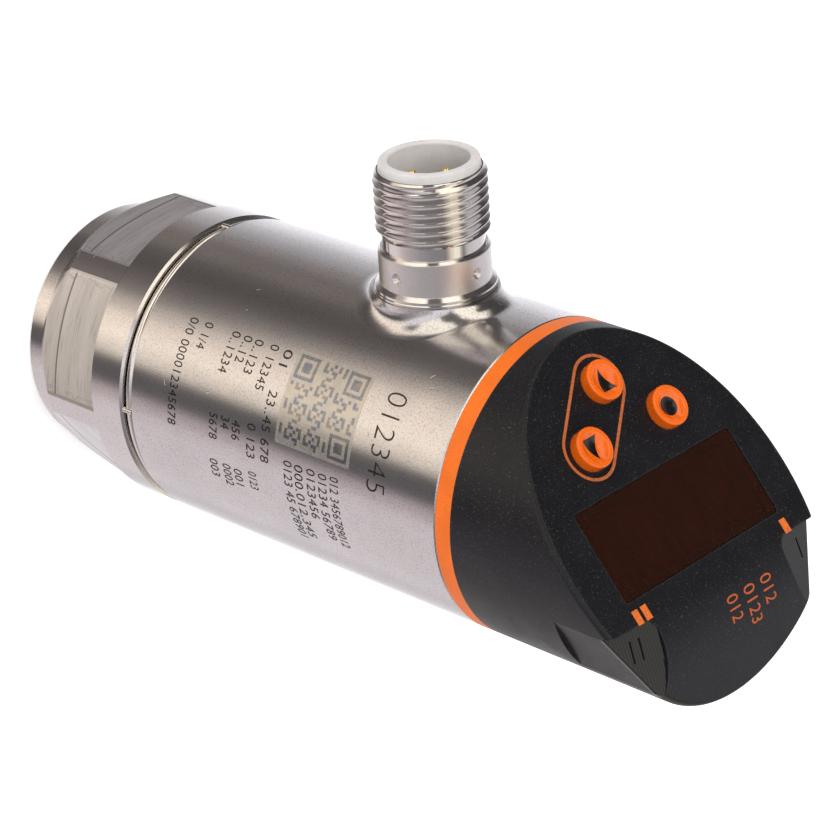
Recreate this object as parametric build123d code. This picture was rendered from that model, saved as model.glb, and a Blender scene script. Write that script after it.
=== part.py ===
from build123d import *
import os
from math import cos, radians, sin, tan

# Electronic pressure switch: a threaded process fitting, a steel tube that turns on it,
# a round plug connector on the tube's side and a black head with an inclined display face.
# Millimetres. Z is the main axis, z = 0 is the end face of the fitting,
# the connector and the display face point to -Y.

# Process fitting, outside
COLLAR_R = 14.3
COLLAR_LENGTH = 2.4
HEX_ACROSS_FLATS = 30.0
HEX_CORNER_SETBACK = 0.3
HEX_LENGTH = 11.4
HEX_TURN = 8.3
HEX_END_CONE = 3.4
FLANGE_LENGTH = 5.1
EDGE_BREAK = 0.4
FINE_BREAK = 0.25

# Process fitting, port and measuring cell seat (female G 1/4, cut through at its tap size)
PORT_TAP_R = 5.9
PORT_DEPTH = 12.5
PORT_MOUTH_R = 6.3
CHANNEL_R = 2.0
CELL_R = 9.0
CELL_THICKNESS = 4.5
CELL_HOLLOW_R = 5.0
CELL_MEMBRANE = 1.1
CELL_SEAT_Z = 17.0
CELL_SEAL_R = 5.5
CELL_SEAL_SECTION = 0.8
CLAMP_RING_R = 10.4
CLAMP_RING_BORE_R = 6.5
CLAMP_RING_THICKNESS = 3.0
CLAMP_SLOT_WIDTH = 2.0
CLAMP_SLOT_DEPTH = 1.2
SPIGOT_LENGTH = 13.0

# Steel tube
TUBE_R = 17.0
TUBE_WALL = 1.5
TUBE_LENGTH = 45.7
RING_GAP = 1.5
RUNNING_CLEARANCE = 0.05
SEAT_CLEARANCE = 0.05

# Rings between fitting and tube
WIRE_SECTION_R = 0.6
WIRE_GAP_ANGLE = 20.0
LUG_R = 0.35
LUG_SETBACK = 0.1
LUG_ANGLES = (-1.9, -91.4)
ROTARY_SEAL_SECTION = 0.9
ROTARY_SEAL_RISE = 4.2
LOCK_RING_THICKNESS = 1.2
LOCK_RING_REACH = 0.6
LOCK_RING_DEPTH = 1.0
LOCK_RING_RISE = 8.6
LOCK_RING_GAP = 6.0

# Connector: M12 thread, four pins, on a flared boss
CONNECTOR_BELOW_TUBE_END = 14.2
BOSS_R = 6.6
BOSS_FLARE = 2.6
BOSS_RISE = 1.0
BOSS_INNER_LENGTH = 1.3
BOSS_INNER_R = 7.6
SHELL_SHANK_R = 5.45
SHELL_FOOT_R = 6.4
SHELL_FOOT_HEIGHT = 0.3
SHELL_BEVEL = 0.4
GRIP_R = 5.9
GRIP_RISE = 4.8
NECK_R = 5.4
THREAD_R = 5.97
THREAD_RISE = 6.6
THREAD_LENGTH = 6.7
THREAD_CHAMFER = 0.45
SHELL_BORE_R = 4.85
WASHER_HEIGHT = 0.35
DIMPLE_R = 0.45
DIMPLE_RISE = 2.7
SHANK_SEAL_SECTION = 0.5
INSERT_RIM_R = 5.3
INSERT_RIM_HEIGHT = 0.93
CUP_R = 4.26
CUP_DEPTH = 8.5
KEY_WIDTH = 0.9
KEY_HEIGHT = 0.55
PIN_R = 0.5
PIN_CIRCLE_R = 2.5
PIN_BELOW_RIM = 2.0
PIN_TAIL = 1.0

# Boards inside the tube
CONNECTOR_BOARD_SIZE = 11.6
CONNECTOR_BOARD_SPACE = 1.2
BOARD_THICKNESS = 1.2
HEADER_LENGTH = 3.3
HEADER_WIDTH = 9.6
MAIN_BOARD_EDGE_MARGIN = 3.1
MAIN_BOARD_THICKNESS = 1.6
MAIN_BOARD_HEADROOM = 1.0
# Across the board, share of its length, width, length, height in chip heights
MAIN_BOARD_CHIPS = (
    (-4.0, 0.13, 7.0, 7.0, 1),
    (5.5, 0.17, 5.0, 4.0, 1),
    (4.5, 0.57, 6.0, 6.0, 3),
    (-6.0, 0.61, 3.2, 5.0, 2),
)
CHIP_HEIGHT = 1.2
SIGNAL_CHIP_SIZE = (5.0, 4.0)
SIGNAL_CHIP_Y = 1.5
SIGNAL_SOCKET_SIZE = (6.0, 2.2)
SIGNAL_SOCKET_Y = -5.5
CARRIER_CLEARANCE = 0.2
CARRIER_WALL = 1.5
CARRIER_FOOT = 2.5
CARRIER_RAIL_DEPTH = 5.0
CARRIER_RISE = 1.2
BOARD_LIFT = 1.4

# Head
SEAL_WIDTH = 2.0
HEAD_LENGTH = 22.9
FACE_TILT = 40.0
FACE_ABOVE_MIDDLE = 4.95
FACE_BLEND_R = 14.0
HEAD_EDGE_R = 0.6
ROOF = 2.0
HEAD_WALL = 2.0
SPIGOT_WALL = 2.4
HEAD_SPIGOT_LENGTH = 6.1
HEAD_SEAL_SECTION = 0.7
HEAD_SEAL_RISE = 2.9
FACET_ANGLE = 29.7
FACET_DEPTH = 0.44
FACET_DROP = 10.1

# Display
GLASS_WIDTH = 24.3
GLASS_HEIGHT = 10.1
GLASS_V = -1.4
GLASS_SINK = 0.12
GLASS_THICKNESS = 1.1
GLASS_LEDGE = 0.9
GLASS_CORNER = 0.4
MODULE_GAP = 0.1
MODULE_HEIGHT = 3.9
MODULE_MARGIN = 1.1
DIGIT_COUNT = 4
DISPLAY_BOARD_CLEARANCE = 0.2

# Buttons
BUTTON_R = 2.22
BUTTON_RISE = 1.2
BUTTON_TRAVEL = 0.4
BUTTON_RIM = 0.55
BUTTON_DISH = 0.7
BUTTON_FLANGE_R = 2.9
BUTTON_FLANGE = 0.7
BUTTON_STEM_R = 1.0
LOW_BUTTON_V = -16.65
PAIR_V = -11.2
PAIR_U = 5.92
SWITCH_SIZE = 4.0
SWITCH_HEIGHT = 1.8
BUTTON_EDGE_R = 0.25

# Board posts and screws in the head
POST_R = 1.5
POST_LOW = (10.2, -9.3)
POST_HIGH = (7.0, 5.1)
SCREW_R = 0.7
SCREW_HEAD_R = 1.3
SCREW_HEAD = 0.9
SCREW_LENGTH = 3.6

# Light windows at the two shoulders of the head: plan outline, insets from the head's side, sloped top
LIGHT_SIDE_Y = 4.6
LIGHT_CORNER_INSET = 6.2
LIGHT_START_INSET = 6.95
LIGHT_START_Y = 5.5
LIGHT_MIDDLE_INSET = 6.5
LIGHT_MIDDLE_Y = 9.4
LIGHT_END_INSET = 4.1
LIGHT_END_Y = 13.6
LIGHT_PROUD = 0.033
LIGHT_EDGE_R = 0.2
LIGHT_FALL_X = 0.19
LIGHT_RISE_Y = 0.38
LIGHT_DEPTH = 0.6
LIGHT_PAD = 1.1
LIGHT_GUIDE_R = 1.1
LIGHT_GUIDE_INSET = 4.4
LIGHT_GUIDE_Y = 7.0
LIGHT_GUIDE_LENGTH = 2.6
GROOVE_WIDTH = 0.25
GROOVE_LENGTH = 2.3
GROOVE_DEPTH = 0.2
GROOVE_PITCH = 1.15
GROOVE_AT = (2.2, 2.4)

# Stations along the main axis
HEX_START = COLLAR_LENGTH
FLANGE_START = HEX_START + HEX_LENGTH
FLANGE_END = FLANGE_START + FLANGE_LENGTH
TUBE_START = FLANGE_END + RING_GAP
TUBE_END = TUBE_START + TUBE_LENGTH
HEAD_START = TUBE_END + SEAL_WIDTH
HEAD_END = HEAD_START + HEAD_LENGTH
FACE_HEIGHT = (HEAD_START + HEAD_END) / 2 + FACE_ABOVE_MIDDLE
BLEND_LENGTH_Y = FACE_BLEND_R * sin(radians(FACE_TILT))
BLEND_START_Z = HEAD_END - FACE_BLEND_R * (1 - cos(radians(FACE_TILT)))
BLEND_START_Y = (BLEND_START_Z - FACE_HEIGHT) / tan(radians(FACE_TILT))
BLEND_END_Y = BLEND_START_Y + BLEND_LENGTH_Y
CONNECTOR_Z = TUBE_END - CONNECTOR_BELOW_TUBE_END
SPIGOT_TOP = TUBE_START + SPIGOT_LENGTH
HEAD_SPIGOT_START = TUBE_END - HEAD_SPIGOT_LENGTH

# Radii that follow from the fits
TUBE_BORE_R = TUBE_R - TUBE_WALL
SPIGOT_R = TUBE_BORE_R - RUNNING_CLEARANCE
HEAD_SPIGOT_R = TUBE_BORE_R - SEAT_CLEARANCE
HEAD_SPIGOT_BORE_R = HEAD_SPIGOT_R - SPIGOT_WALL
HEX_CORNER_R = TUBE_R - HEX_CORNER_SETBACK
LIGHT_CORNER_X = TUBE_R - LIGHT_CORNER_INSET
CARRIER_R = TUBE_BORE_R - CARRIER_CLEARANCE
MAIN_BOARD_HALF_WIDTH = CARRIER_R - MAIN_BOARD_EDGE_MARGIN
CELL_TOP_Z = CELL_SEAT_Z + CELL_THICKNESS
CLAMP_TOP_Z = CELL_TOP_Z + CLAMP_RING_THICKNESS

# Heights above the main axis, along the connector
BOSS_TOP = TUBE_R + BOSS_RISE
BOSS_INNER_END = TUBE_BORE_R - BOSS_INNER_LENGTH
FOOT_BASE = BOSS_TOP + WASHER_HEIGHT
GRIP_BASE = FOOT_BASE + SHELL_FOOT_HEIGHT + SHELL_BEVEL
DIMPLE_HEIGHT = BOSS_TOP + DIMPLE_RISE
GRIP_TOP = BOSS_TOP + GRIP_RISE
THREAD_START = BOSS_TOP + THREAD_RISE
THREAD_END = THREAD_START + THREAD_LENGTH
RIM_TOP = THREAD_END + INSERT_RIM_HEIGHT
CUP_FLOOR = RIM_TOP - CUP_DEPTH
CONNECTOR_BOARD_TOP = BOSS_INNER_END - CONNECTOR_BOARD_SPACE
CONNECTOR_BOARD_BACK = CONNECTOR_BOARD_TOP - BOARD_THICKNESS
MAIN_BOARD_FRONT = CONNECTOR_BOARD_BACK - HEADER_LENGTH
MAIN_BOARD_BACK = MAIN_BOARD_FRONT - MAIN_BOARD_THICKNESS

# Depths below the display face
GLASS_BOTTOM = -GLASS_SINK - GLASS_THICKNESS
MODULE_TOP = -ROOF - MODULE_GAP
BOARD_TOP = MODULE_TOP - MODULE_HEIGHT
BOARD_BOTTOM = BOARD_TOP - BOARD_THICKNESS
SWITCH_TOP = BOARD_TOP + SWITCH_HEIGHT
BUTTON_BOTTOM = SWITCH_TOP + BUTTON_TRAVEL + SEAT_CLEARANCE

# Frames
UP = (Align.CENTER, Align.CENTER, Align.MIN)
DOWN = (Align.CENTER, Align.CENTER, Align.MAX)
CONNECTOR = Plane(origin=(0, 0, CONNECTOR_Z), x_dir=(1, 0, 0), z_dir=(0, -1, 0))
FACE = Plane(
    origin=(0, 0, FACE_HEIGHT),
    x_dir=(1, 0, 0),
    z_dir=(0, -sin(radians(FACE_TILT)), cos(radians(FACE_TILT))),
)
FAR = 2 * HEAD_END


def turned(outline):
    """A closed (radius, height) outline revolved about Z."""
    face = make_face(Polyline(*[(r, 0, z) for r, z in outline], close=True))
    return revolve(face, Axis.Z)


def disc(radius, bottom, top):
    return Pos(0, 0, bottom) * Cylinder(radius, top - bottom, align=UP)


def ring(outer, inner, bottom, top):
    return disc(outer, bottom, top) - disc(inner, bottom, top)


def o_ring(centre_radius, section, height):
    return Pos(0, 0, height) * Torus(centre_radius, section)


def out_of_tube(solid):
    """Place a solid drawn about Z on the connector axis, its heights counted from the main axis."""
    return CONNECTOR.location * solid


def on_face(solid, u, v, w=0.0):
    """Place a solid on the display face: u across, v up the slope, w out of it."""
    return FACE.location * Pos(u, v, w) * solid


def mirrored(solid):
    return mirror(solid, about=Plane.YZ)


# Process fitting and what it holds

def process_connection():
    """Turned and milled in one piece: collar, hexagon, flange and the spigot the tube turns on."""
    outline = [
        (0, 0),
        (COLLAR_R - EDGE_BREAK, 0),
        (COLLAR_R, EDGE_BREAK),
        (COLLAR_R, HEX_START),
        (HEX_CORNER_R, HEX_START + HEX_END_CONE),
        (HEX_CORNER_R, FLANGE_START),
        (TUBE_R - FINE_BREAK, FLANGE_START),
        (TUBE_R, FLANGE_START + FINE_BREAK),
        (TUBE_R, FLANGE_END - FINE_BREAK),
        (TUBE_R - FINE_BREAK, FLANGE_END),
        (SPIGOT_R, FLANGE_END),
        (SPIGOT_R, SPIGOT_TOP - EDGE_BREAK),
        (SPIGOT_R - EDGE_BREAK, SPIGOT_TOP),
        (0, SPIGOT_TOP),
    ]
    body = turned(outline)
    hexagon = RegularPolygon(HEX_ACROSS_FLATS / 2, 6, major_radius=False, rotation=HEX_TURN)
    flats = extrude(Circle(TUBE_R) - hexagon, HEX_LENGTH)
    body -= Pos(0, 0, HEX_START) * flats
    body -= rotary_groove()
    body -= lock_ring_groove(SPIGOT_R - LOCK_RING_DEPTH - SEAT_CLEARANCE, SPIGOT_R + 1)
    port = [
        (0, 0),
        (PORT_MOUTH_R, 0),
        (PORT_TAP_R, PORT_MOUTH_R - PORT_TAP_R),
        (PORT_TAP_R, PORT_DEPTH),
        (CHANNEL_R, PORT_DEPTH + (PORT_TAP_R - CHANNEL_R) / 2),
        (CHANNEL_R, CELL_SEAT_Z),
        (0, CELL_SEAT_Z),
    ]
    body -= turned(port)
    body -= disc(CELL_R + SEAT_CLEARANCE, CELL_SEAT_Z, SPIGOT_TOP)
    body -= disc(CLAMP_RING_R + SEAT_CLEARANCE, CELL_TOP_Z, SPIGOT_TOP)
    seal_half_width = CELL_SEAL_SECTION + SEAT_CLEARANCE
    seal_bottom = CELL_SEAT_Z - 2 * CELL_SEAL_SECTION - SEAT_CLEARANCE
    body -= ring(CELL_SEAL_R + seal_half_width, CELL_SEAL_R - seal_half_width, seal_bottom, CELL_SEAT_Z)
    return body


def rotary_groove():
    middle = TUBE_START + ROTARY_SEAL_RISE
    half_width = ROTARY_SEAL_SECTION + SEAT_CLEARANCE
    floor_r = SPIGOT_R - 2 * ROTARY_SEAL_SECTION - SEAT_CLEARANCE
    return ring(SPIGOT_R + 1, floor_r, middle - half_width, middle + half_width)


def rotary_seal():
    return o_ring(SPIGOT_R - ROTARY_SEAL_SECTION, ROTARY_SEAL_SECTION, TUBE_START + ROTARY_SEAL_RISE)


def lock_ring_groove(inner, outer):
    start = TUBE_START + LOCK_RING_RISE - SEAT_CLEARANCE
    return ring(outer, inner, start, start + LOCK_RING_THICKNESS + 2 * SEAT_CLEARANCE)


def locking_ring():
    """Split flat ring that reaches into the tube's inner groove and keeps the tube on the spigot."""
    start = TUBE_START + LOCK_RING_RISE
    outer = TUBE_BORE_R + LOCK_RING_REACH
    inner = SPIGOT_R - LOCK_RING_DEPTH
    gap = Pos(0, outer, start) * Box(LOCK_RING_GAP, outer, LOCK_RING_THICKNESS, align=UP)
    return ring(outer, inner, start, start + LOCK_RING_THICKNESS) - gap


def retaining_ring():
    """Split wire ring with two small lugs that shows in the gap between flange and tube."""
    centre_r = SPIGOT_R + WIRE_SECTION_R + SEAT_CLEARANCE
    section = Plane(origin=(centre_r, 0, 0), x_dir=(1, 0, 0), z_dir=(0, 1, 0)) * Circle(WIRE_SECTION_R)
    wire = revolve(section, Axis.Z, revolution_arc=360 - WIRE_GAP_ANGLE)
    wire = Rot(0, 0, 90 + WIRE_GAP_ANGLE / 2) * wire
    for angle in LUG_ANGLES:
        lug = Cylinder(LUG_R, RING_GAP - 2 * SEAT_CLEARANCE)
        wire += Rot(0, 0, angle) * Pos(TUBE_R - LUG_SETBACK - LUG_R, 0, 0) * lug
    return Pos(0, 0, FLANGE_END + RING_GAP / 2) * wire


def cell_seal():
    return o_ring(CELL_SEAL_R, CELL_SEAL_SECTION, CELL_SEAT_Z - CELL_SEAL_SECTION)


def measuring_cell():
    """Ceramic disc with a thinned membrane over the channel."""
    cell = disc(CELL_R, CELL_SEAT_Z, CELL_TOP_Z)
    cell -= disc(CELL_HOLLOW_R, CELL_SEAT_Z + CELL_MEMBRANE, CELL_TOP_Z)
    return chamfer(cell.edges().filter_by(GeomType.CIRCLE).sort_by(Axis.Z)[0], FINE_BREAK)


def cell_clamp_ring():
    """Screwed ring with two wrench slots that holds the cell on its seal."""
    clamp = ring(CLAMP_RING_R, CLAMP_RING_BORE_R, CELL_TOP_Z, CLAMP_TOP_Z)
    slot = Box(2 * CLAMP_RING_R + 1, CLAMP_SLOT_WIDTH, CLAMP_SLOT_DEPTH, align=DOWN)
    return clamp - Pos(0, 0, CLAMP_TOP_Z) * slot


def signal_board():
    board_r = CLAMP_RING_R - 3 * EDGE_BREAK
    board = disc(board_r, CLAMP_TOP_Z, CLAMP_TOP_Z + BOARD_THICKNESS)
    chip = Box(*SIGNAL_CHIP_SIZE, CHIP_HEIGHT, align=UP)
    board += Pos(0, SIGNAL_CHIP_Y, CLAMP_TOP_Z + BOARD_THICKNESS) * chip
    socket = Box(*SIGNAL_SOCKET_SIZE, 2 * CHIP_HEIGHT, align=UP)
    return board + Pos(0, SIGNAL_SOCKET_Y, CLAMP_TOP_Z + BOARD_THICKNESS) * socket


# Steel tube with its connector boss

def housing_tube():
    """Tube with a boss that flares into it, bored for the connector and grooved for the locking ring."""
    body = disc(TUBE_R, TUBE_START, TUBE_END)
    tall_boss = out_of_tube(disc(BOSS_R, 0, BOSS_TOP + BOSS_FLARE + 2))
    body += tall_boss
    foot = body.edges().filter_by(lambda e: e.geom_type not in (GeomType.LINE, GeomType.CIRCLE))
    body = fillet(foot, BOSS_FLARE)
    body -= out_of_tube(disc(2 * TUBE_R, BOSS_TOP, BOSS_TOP + FAR))
    rims = body.edges().filter_by(GeomType.CIRCLE)
    rims = rims.filter_by(lambda e: abs(e.radius - TUBE_R) < 0.001)
    body = chamfer(rims, FINE_BREAK)
    bore = disc(TUBE_BORE_R, TUBE_START, TUBE_END)
    bore -= out_of_tube(disc(BOSS_INNER_R, BOSS_INNER_END, TUBE_R))
    body -= bore
    groove_r = TUBE_BORE_R + LOCK_RING_REACH + SEAT_CLEARANCE
    body -= lock_ring_groove(TUBE_BORE_R - 1, groove_r)
    body -= out_of_tube(disc(SHELL_SHANK_R + SEAT_CLEARANCE, 0, FAR))
    return body


# Connector

def connector_shell():
    """Nickelled shell: foot and bevel, grip band with four caulking dimples, neck and M12 thread size."""
    outline = [
        (SHELL_BORE_R, BOSS_INNER_END),
        (SHELL_SHANK_R, BOSS_INNER_END),
        (SHELL_SHANK_R, FOOT_BASE),
        (SHELL_FOOT_R, FOOT_BASE),
        (SHELL_FOOT_R, FOOT_BASE + SHELL_FOOT_HEIGHT),
        (GRIP_R, GRIP_BASE),
        (GRIP_R, GRIP_TOP - FINE_BREAK / 2),
        (GRIP_R - FINE_BREAK / 2, GRIP_TOP),
        (NECK_R, GRIP_TOP),
        (NECK_R, THREAD_START - THREAD_CHAMFER),
        (THREAD_R, THREAD_START),
        (THREAD_R, THREAD_END - THREAD_CHAMFER),
        (THREAD_R - THREAD_CHAMFER, THREAD_END),
        (SHELL_BORE_R, THREAD_END),
    ]
    shell = turned(outline)
    for turn in range(4):
        shell -= Rot(0, 0, 90 * turn) * Pos(GRIP_R + DIMPLE_R / 3, 0, DIMPLE_HEIGHT) * Sphere(DIMPLE_R)
    middle = (BOSS_INNER_END + BOSS_TOP) / 2
    groove_floor = SHELL_SHANK_R - 2 * SHANK_SEAL_SECTION + SEAT_CLEARANCE
    floor_r = max(groove_floor, SHELL_BORE_R + FINE_BREAK / 2)
    half_width = SHANK_SEAL_SECTION
    shell -= ring(SHELL_SHANK_R + 1, floor_r, middle - half_width, middle + half_width)
    return out_of_tube(shell)


def connector_seal():
    """Flat sealing band in the shank's groove."""
    middle = (BOSS_INNER_END + BOSS_TOP) / 2
    inner = SHELL_BORE_R + FINE_BREAK / 2 + SEAT_CLEARANCE
    band = ring(SHELL_SHANK_R, inner, middle - SHANK_SEAL_SECTION, middle + SHANK_SEAL_SECTION)
    return out_of_tube(band)


def connector_washer():
    washer = ring(BOSS_R - FINE_BREAK / 2, SHELL_SHANK_R + SEAT_CLEARANCE, BOSS_TOP, FOOT_BASE)
    outer = washer.edges().filter_by(GeomType.CIRCLE).filter_by(lambda e: e.radius > SHELL_SHANK_R + 0.5)
    return out_of_tube(chamfer(outer, WASHER_HEIGHT / 4))


def connector_insert():
    """Moulded pin carrier with an open cup, a rim over the shell and the coding key in the cup."""
    body_r = SHELL_BORE_R - SEAT_CLEARANCE
    body = disc(body_r, BOSS_INNER_END, THREAD_END) + disc(INSERT_RIM_R, THREAD_END, RIM_TOP)
    body -= disc(CUP_R, CUP_FLOOR, RIM_TOP)
    rim = body.edges().filter_by(GeomType.CIRCLE).group_by(Axis.Z)[-1]
    body = fillet(rim, FINE_BREAK)
    key = Box(KEY_WIDTH, 2 * KEY_HEIGHT, CUP_DEPTH - PIN_BELOW_RIM, align=UP)
    body += Rot(0, 0, 45) * Pos(0, CUP_R, CUP_FLOOR) * key
    for x, y in pin_places():
        body -= Pos(x, y, 0) * disc(PIN_R + SEAT_CLEARANCE / 2, 0, RIM_TOP)
    return out_of_tube(body)


def pin_places():
    return [(PIN_CIRCLE_R, 0), (0, PIN_CIRCLE_R), (-PIN_CIRCLE_R, 0), (0, -PIN_CIRCLE_R)]


def contact_pin(place):
    bottom = CONNECTOR_BOARD_BACK - PIN_TAIL
    pin = disc(PIN_R, bottom, RIM_TOP - PIN_BELOW_RIM)
    tip = pin.edges().filter_by(GeomType.CIRCLE).sort_by(Axis.Z)[-1]
    pin = fillet(tip, PIN_R * 0.8)
    return out_of_tube(Pos(place[0], place[1], 0) * pin)


# Boards in the tube and the frame that carries them

def connector_board():
    board = Box(CONNECTOR_BOARD_SIZE, CONNECTOR_BOARD_SIZE, BOARD_THICKNESS, align=UP)
    board = Pos(0, 0, CONNECTOR_BOARD_BACK) * board
    spacer = ring(SHELL_SHANK_R, PIN_CIRCLE_R + 2 * PIN_R, CONNECTOR_BOARD_TOP, BOSS_INNER_END)
    board += spacer
    for x, y in pin_places():
        board -= Pos(x, y, 0) * disc(PIN_R + SEAT_CLEARANCE / 2, 0, RIM_TOP)
    return out_of_tube(board)


def board_header():
    """Plug strip that joins the connector board to the main board."""
    strip_depth = CONNECTOR_BOARD_SIZE / 2 - PIN_CIRCLE_R - 2 * PIN_R
    strip = Box(HEADER_WIDTH, strip_depth, HEADER_LENGTH, align=UP)
    return out_of_tube(Pos(0, (CONNECTOR_BOARD_SIZE - strip_depth) / 2, MAIN_BOARD_FRONT) * strip)


def main_board_start():
    return SPIGOT_TOP + CARRIER_RISE + BOARD_LIFT


def main_board_length():
    return HEAD_SPIGOT_START - MAIN_BOARD_HEADROOM - main_board_start()


def main_board():
    """Upright board with the power stage, processor and converter on its back."""
    width = 2 * MAIN_BOARD_HALF_WIDTH
    length = main_board_length()
    start = main_board_start()
    middle_y = -(MAIN_BOARD_FRONT + MAIN_BOARD_BACK) / 2
    board = Pos(0, middle_y, start) * Box(width, MAIN_BOARD_THICKNESS, length, align=UP)
    back = -MAIN_BOARD_BACK
    seat = (Align.CENTER, Align.MIN, Align.MIN)
    for x, share, size_x, size_z, height in MAIN_BOARD_CHIPS:
        chip = Box(size_x, height * CHIP_HEIGHT, size_z, align=seat)
        board += Pos(x, back, start + share * length) * chip
    return board


def board_carrier():
    """Moulded frame: a foot ring above the spigot and two slotted rails up to the head's spigot."""
    foot_start = SPIGOT_TOP + CARRIER_RISE
    frame = ring(CARRIER_R, CARRIER_R - CARRIER_WALL, foot_start, foot_start + CARRIER_FOOT)
    rails = ring(CARRIER_R, CARRIER_R - 2 * CARRIER_WALL, foot_start, HEAD_SPIGOT_START)
    board_y = -(MAIN_BOARD_FRONT + MAIN_BOARD_BACK) / 2
    band_height = HEAD_SPIGOT_START - foot_start
    band = Pos(0, board_y, foot_start) * Box(4 * TUBE_R, CARRIER_RAIL_DEPTH, band_height, align=UP)
    frame += rails & band
    reach = MAIN_BOARD_HALF_WIDTH + SEAT_CLEARANCE
    slot_width = MAIN_BOARD_THICKNESS + 2 * SEAT_CLEARANCE
    slot = Box(2 * reach, slot_width, main_board_length() + BOARD_LIFT, align=UP)
    ledges = Box(2 * reach, slot_width, BOARD_LIFT, align=UP)
    foot_tabs = (disc(CARRIER_R, foot_start, main_board_start()) & Pos(0, board_y, foot_start) * ledges)
    foot_tabs -= disc(CARRIER_R - 3 * CARRIER_WALL, foot_start, main_board_start())
    frame -= Pos(0, board_y, main_board_start()) * slot
    return frame + foot_tabs


# Head

def roof_outline(inset):
    """Side outline of the head in Y and Z, with its incline, blend and end face moved in by inset."""
    tilt = radians(FACE_TILT)
    centre_z = HEAD_END - FACE_BLEND_R
    r = FACE_BLEND_R - inset
    start = (BLEND_END_Y - r * sin(tilt), centre_z + r * cos(tilt))
    middle = (BLEND_END_Y - r * sin(tilt / 2), centre_z + r * cos(tilt / 2))
    end = (BLEND_END_Y, centre_z + r)
    low_y = -TUBE_R - 1
    low = (low_y, start[1] + (low_y - start[0]) * tan(tilt))
    floor = HEAD_SPIGOT_START - 1
    incline = Polyline(low, start)
    blend = ThreePointArc(start, middle, end)
    rest = Polyline(end, (TUBE_R + 1, end[1]), (TUBE_R + 1, floor), (low_y, floor), low)
    return make_face(incline + blend + rest)


def roof_height(y):
    """Height of the head's top at y, on the incline or on the blend."""
    if y < BLEND_START_Y:
        return FACE_HEIGHT + y * tan(radians(FACE_TILT))
    return HEAD_END - FACE_BLEND_R + (FACE_BLEND_R ** 2 - (BLEND_END_Y - y) ** 2) ** 0.5


def head_block(radius, bottom, inset=0.0):
    """A round block under the head's roof, inset is how far it stays below the outer skin."""
    side = extrude(Plane.YZ * roof_outline(inset), TUBE_R + 1, both=True)
    return side & disc(radius, bottom, HEAD_END)


def head_skin():
    """Outer form of the head: rounded rim and the shallow flats below the light windows."""
    block = head_block(TUBE_R, HEAD_START)
    block = fillet(block.edges().filter_by(on_rim), HEAD_EDGE_R)
    for angle in (FACET_ANGLE, 180 - FACET_ANGLE):
        block -= shoulder_flat(angle)
    return block


def on_rim(edge):
    middle = edge.position_at(0.5)
    radius = (middle.X ** 2 + middle.Y ** 2) ** 0.5
    return radius > TUBE_R - 0.01 and middle.Z > HEAD_START + 1 and edge.geom_type != GeomType.LINE


def shoulder_flat(angle):
    size = HEAD_LENGTH
    block = Box(size, size, size, align=(Align.MIN, Align.CENTER, Align.MIN))
    return Rot(0, 0, angle) * Pos(TUBE_R - FACET_DEPTH, 0, HEAD_END - FACET_DROP) * block


def light_outline(grow):
    """Plan of the right light window, its two outer sides run past the rim."""
    out = 2 * TUBE_R
    start = (TUBE_R - LIGHT_START_INSET, LIGHT_START_Y)
    middle = (TUBE_R - LIGHT_MIDDLE_INSET, LIGHT_MIDDLE_Y)
    end = (TUBE_R - LIGHT_END_INSET, LIGHT_END_Y)
    outline = Polyline(start, (LIGHT_CORNER_X, LIGHT_SIDE_Y), (out, LIGHT_SIDE_Y), (out, out), end)
    inner = ThreePointArc(end, middle, start)
    face = make_face(outline + inner)
    if grow:
        face = offset(face, grow, kind=Kind.INTERSECTION)
    return face


def light_slope():
    """The sloped top of the right light window."""
    return Plane(
        origin=(LIGHT_CORNER_X, LIGHT_SIDE_Y, roof_height(LIGHT_SIDE_Y) + LIGHT_PROUD),
        x_dir=(1, 0, -LIGHT_FALL_X),
        z_dir=(LIGHT_FALL_X, -LIGHT_RISE_Y, 1),
    )


def light_prism(grow, top_rise, bottom_drop):
    """The window's plan between two planes parallel to its sloped top."""
    prism = Pos(0, 0, HEAD_START) * extrude(light_outline(grow), HEAD_LENGTH + 2)
    slab = Box(FAR, FAR, top_rise + bottom_drop, align=UP)
    return prism & (light_slope().location * Pos(0, 0, -bottom_drop) * slab)


def light_guide(radius):
    at_x = LIGHT_CORNER_INSET - LIGHT_GUIDE_INSET
    at_y = LIGHT_GUIDE_Y - LIGHT_SIDE_Y
    stub = Pos(at_x, at_y, -LIGHT_DEPTH) * Cylinder(radius, LIGHT_GUIDE_LENGTH, align=DOWN)
    return light_slope().location * stub


def light_window(lines):
    """Clear shoulder window with a light guide below and one or two engraved lines on top."""
    window = light_prism(-SEAT_CLEARANCE, 0, LIGHT_DEPTH) & head_skin()
    window = fillet(window.edges().filter_by(on_light_shoulder), LIGHT_EDGE_R)
    window += light_guide(LIGHT_GUIDE_R)
    for line in range(lines):
        at_x = GROOVE_AT[0] + (line - (lines - 1) / 2) * GROOVE_PITCH
        groove = Box(GROOVE_WIDTH, GROOVE_LENGTH, 2 * GROOVE_DEPTH)
        window -= light_slope().location * Pos(at_x, GROOVE_AT[1], 0) * groove
    return window


def on_light_shoulder(edge):
    middle = edge.position_at(0.5)
    radius = (middle.X ** 2 + middle.Y ** 2) ** 0.5
    height = light_slope().to_local_coords(middle).Z
    return radius > TUBE_R - 2 * FACET_DEPTH and abs(height) < 0.01


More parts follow.
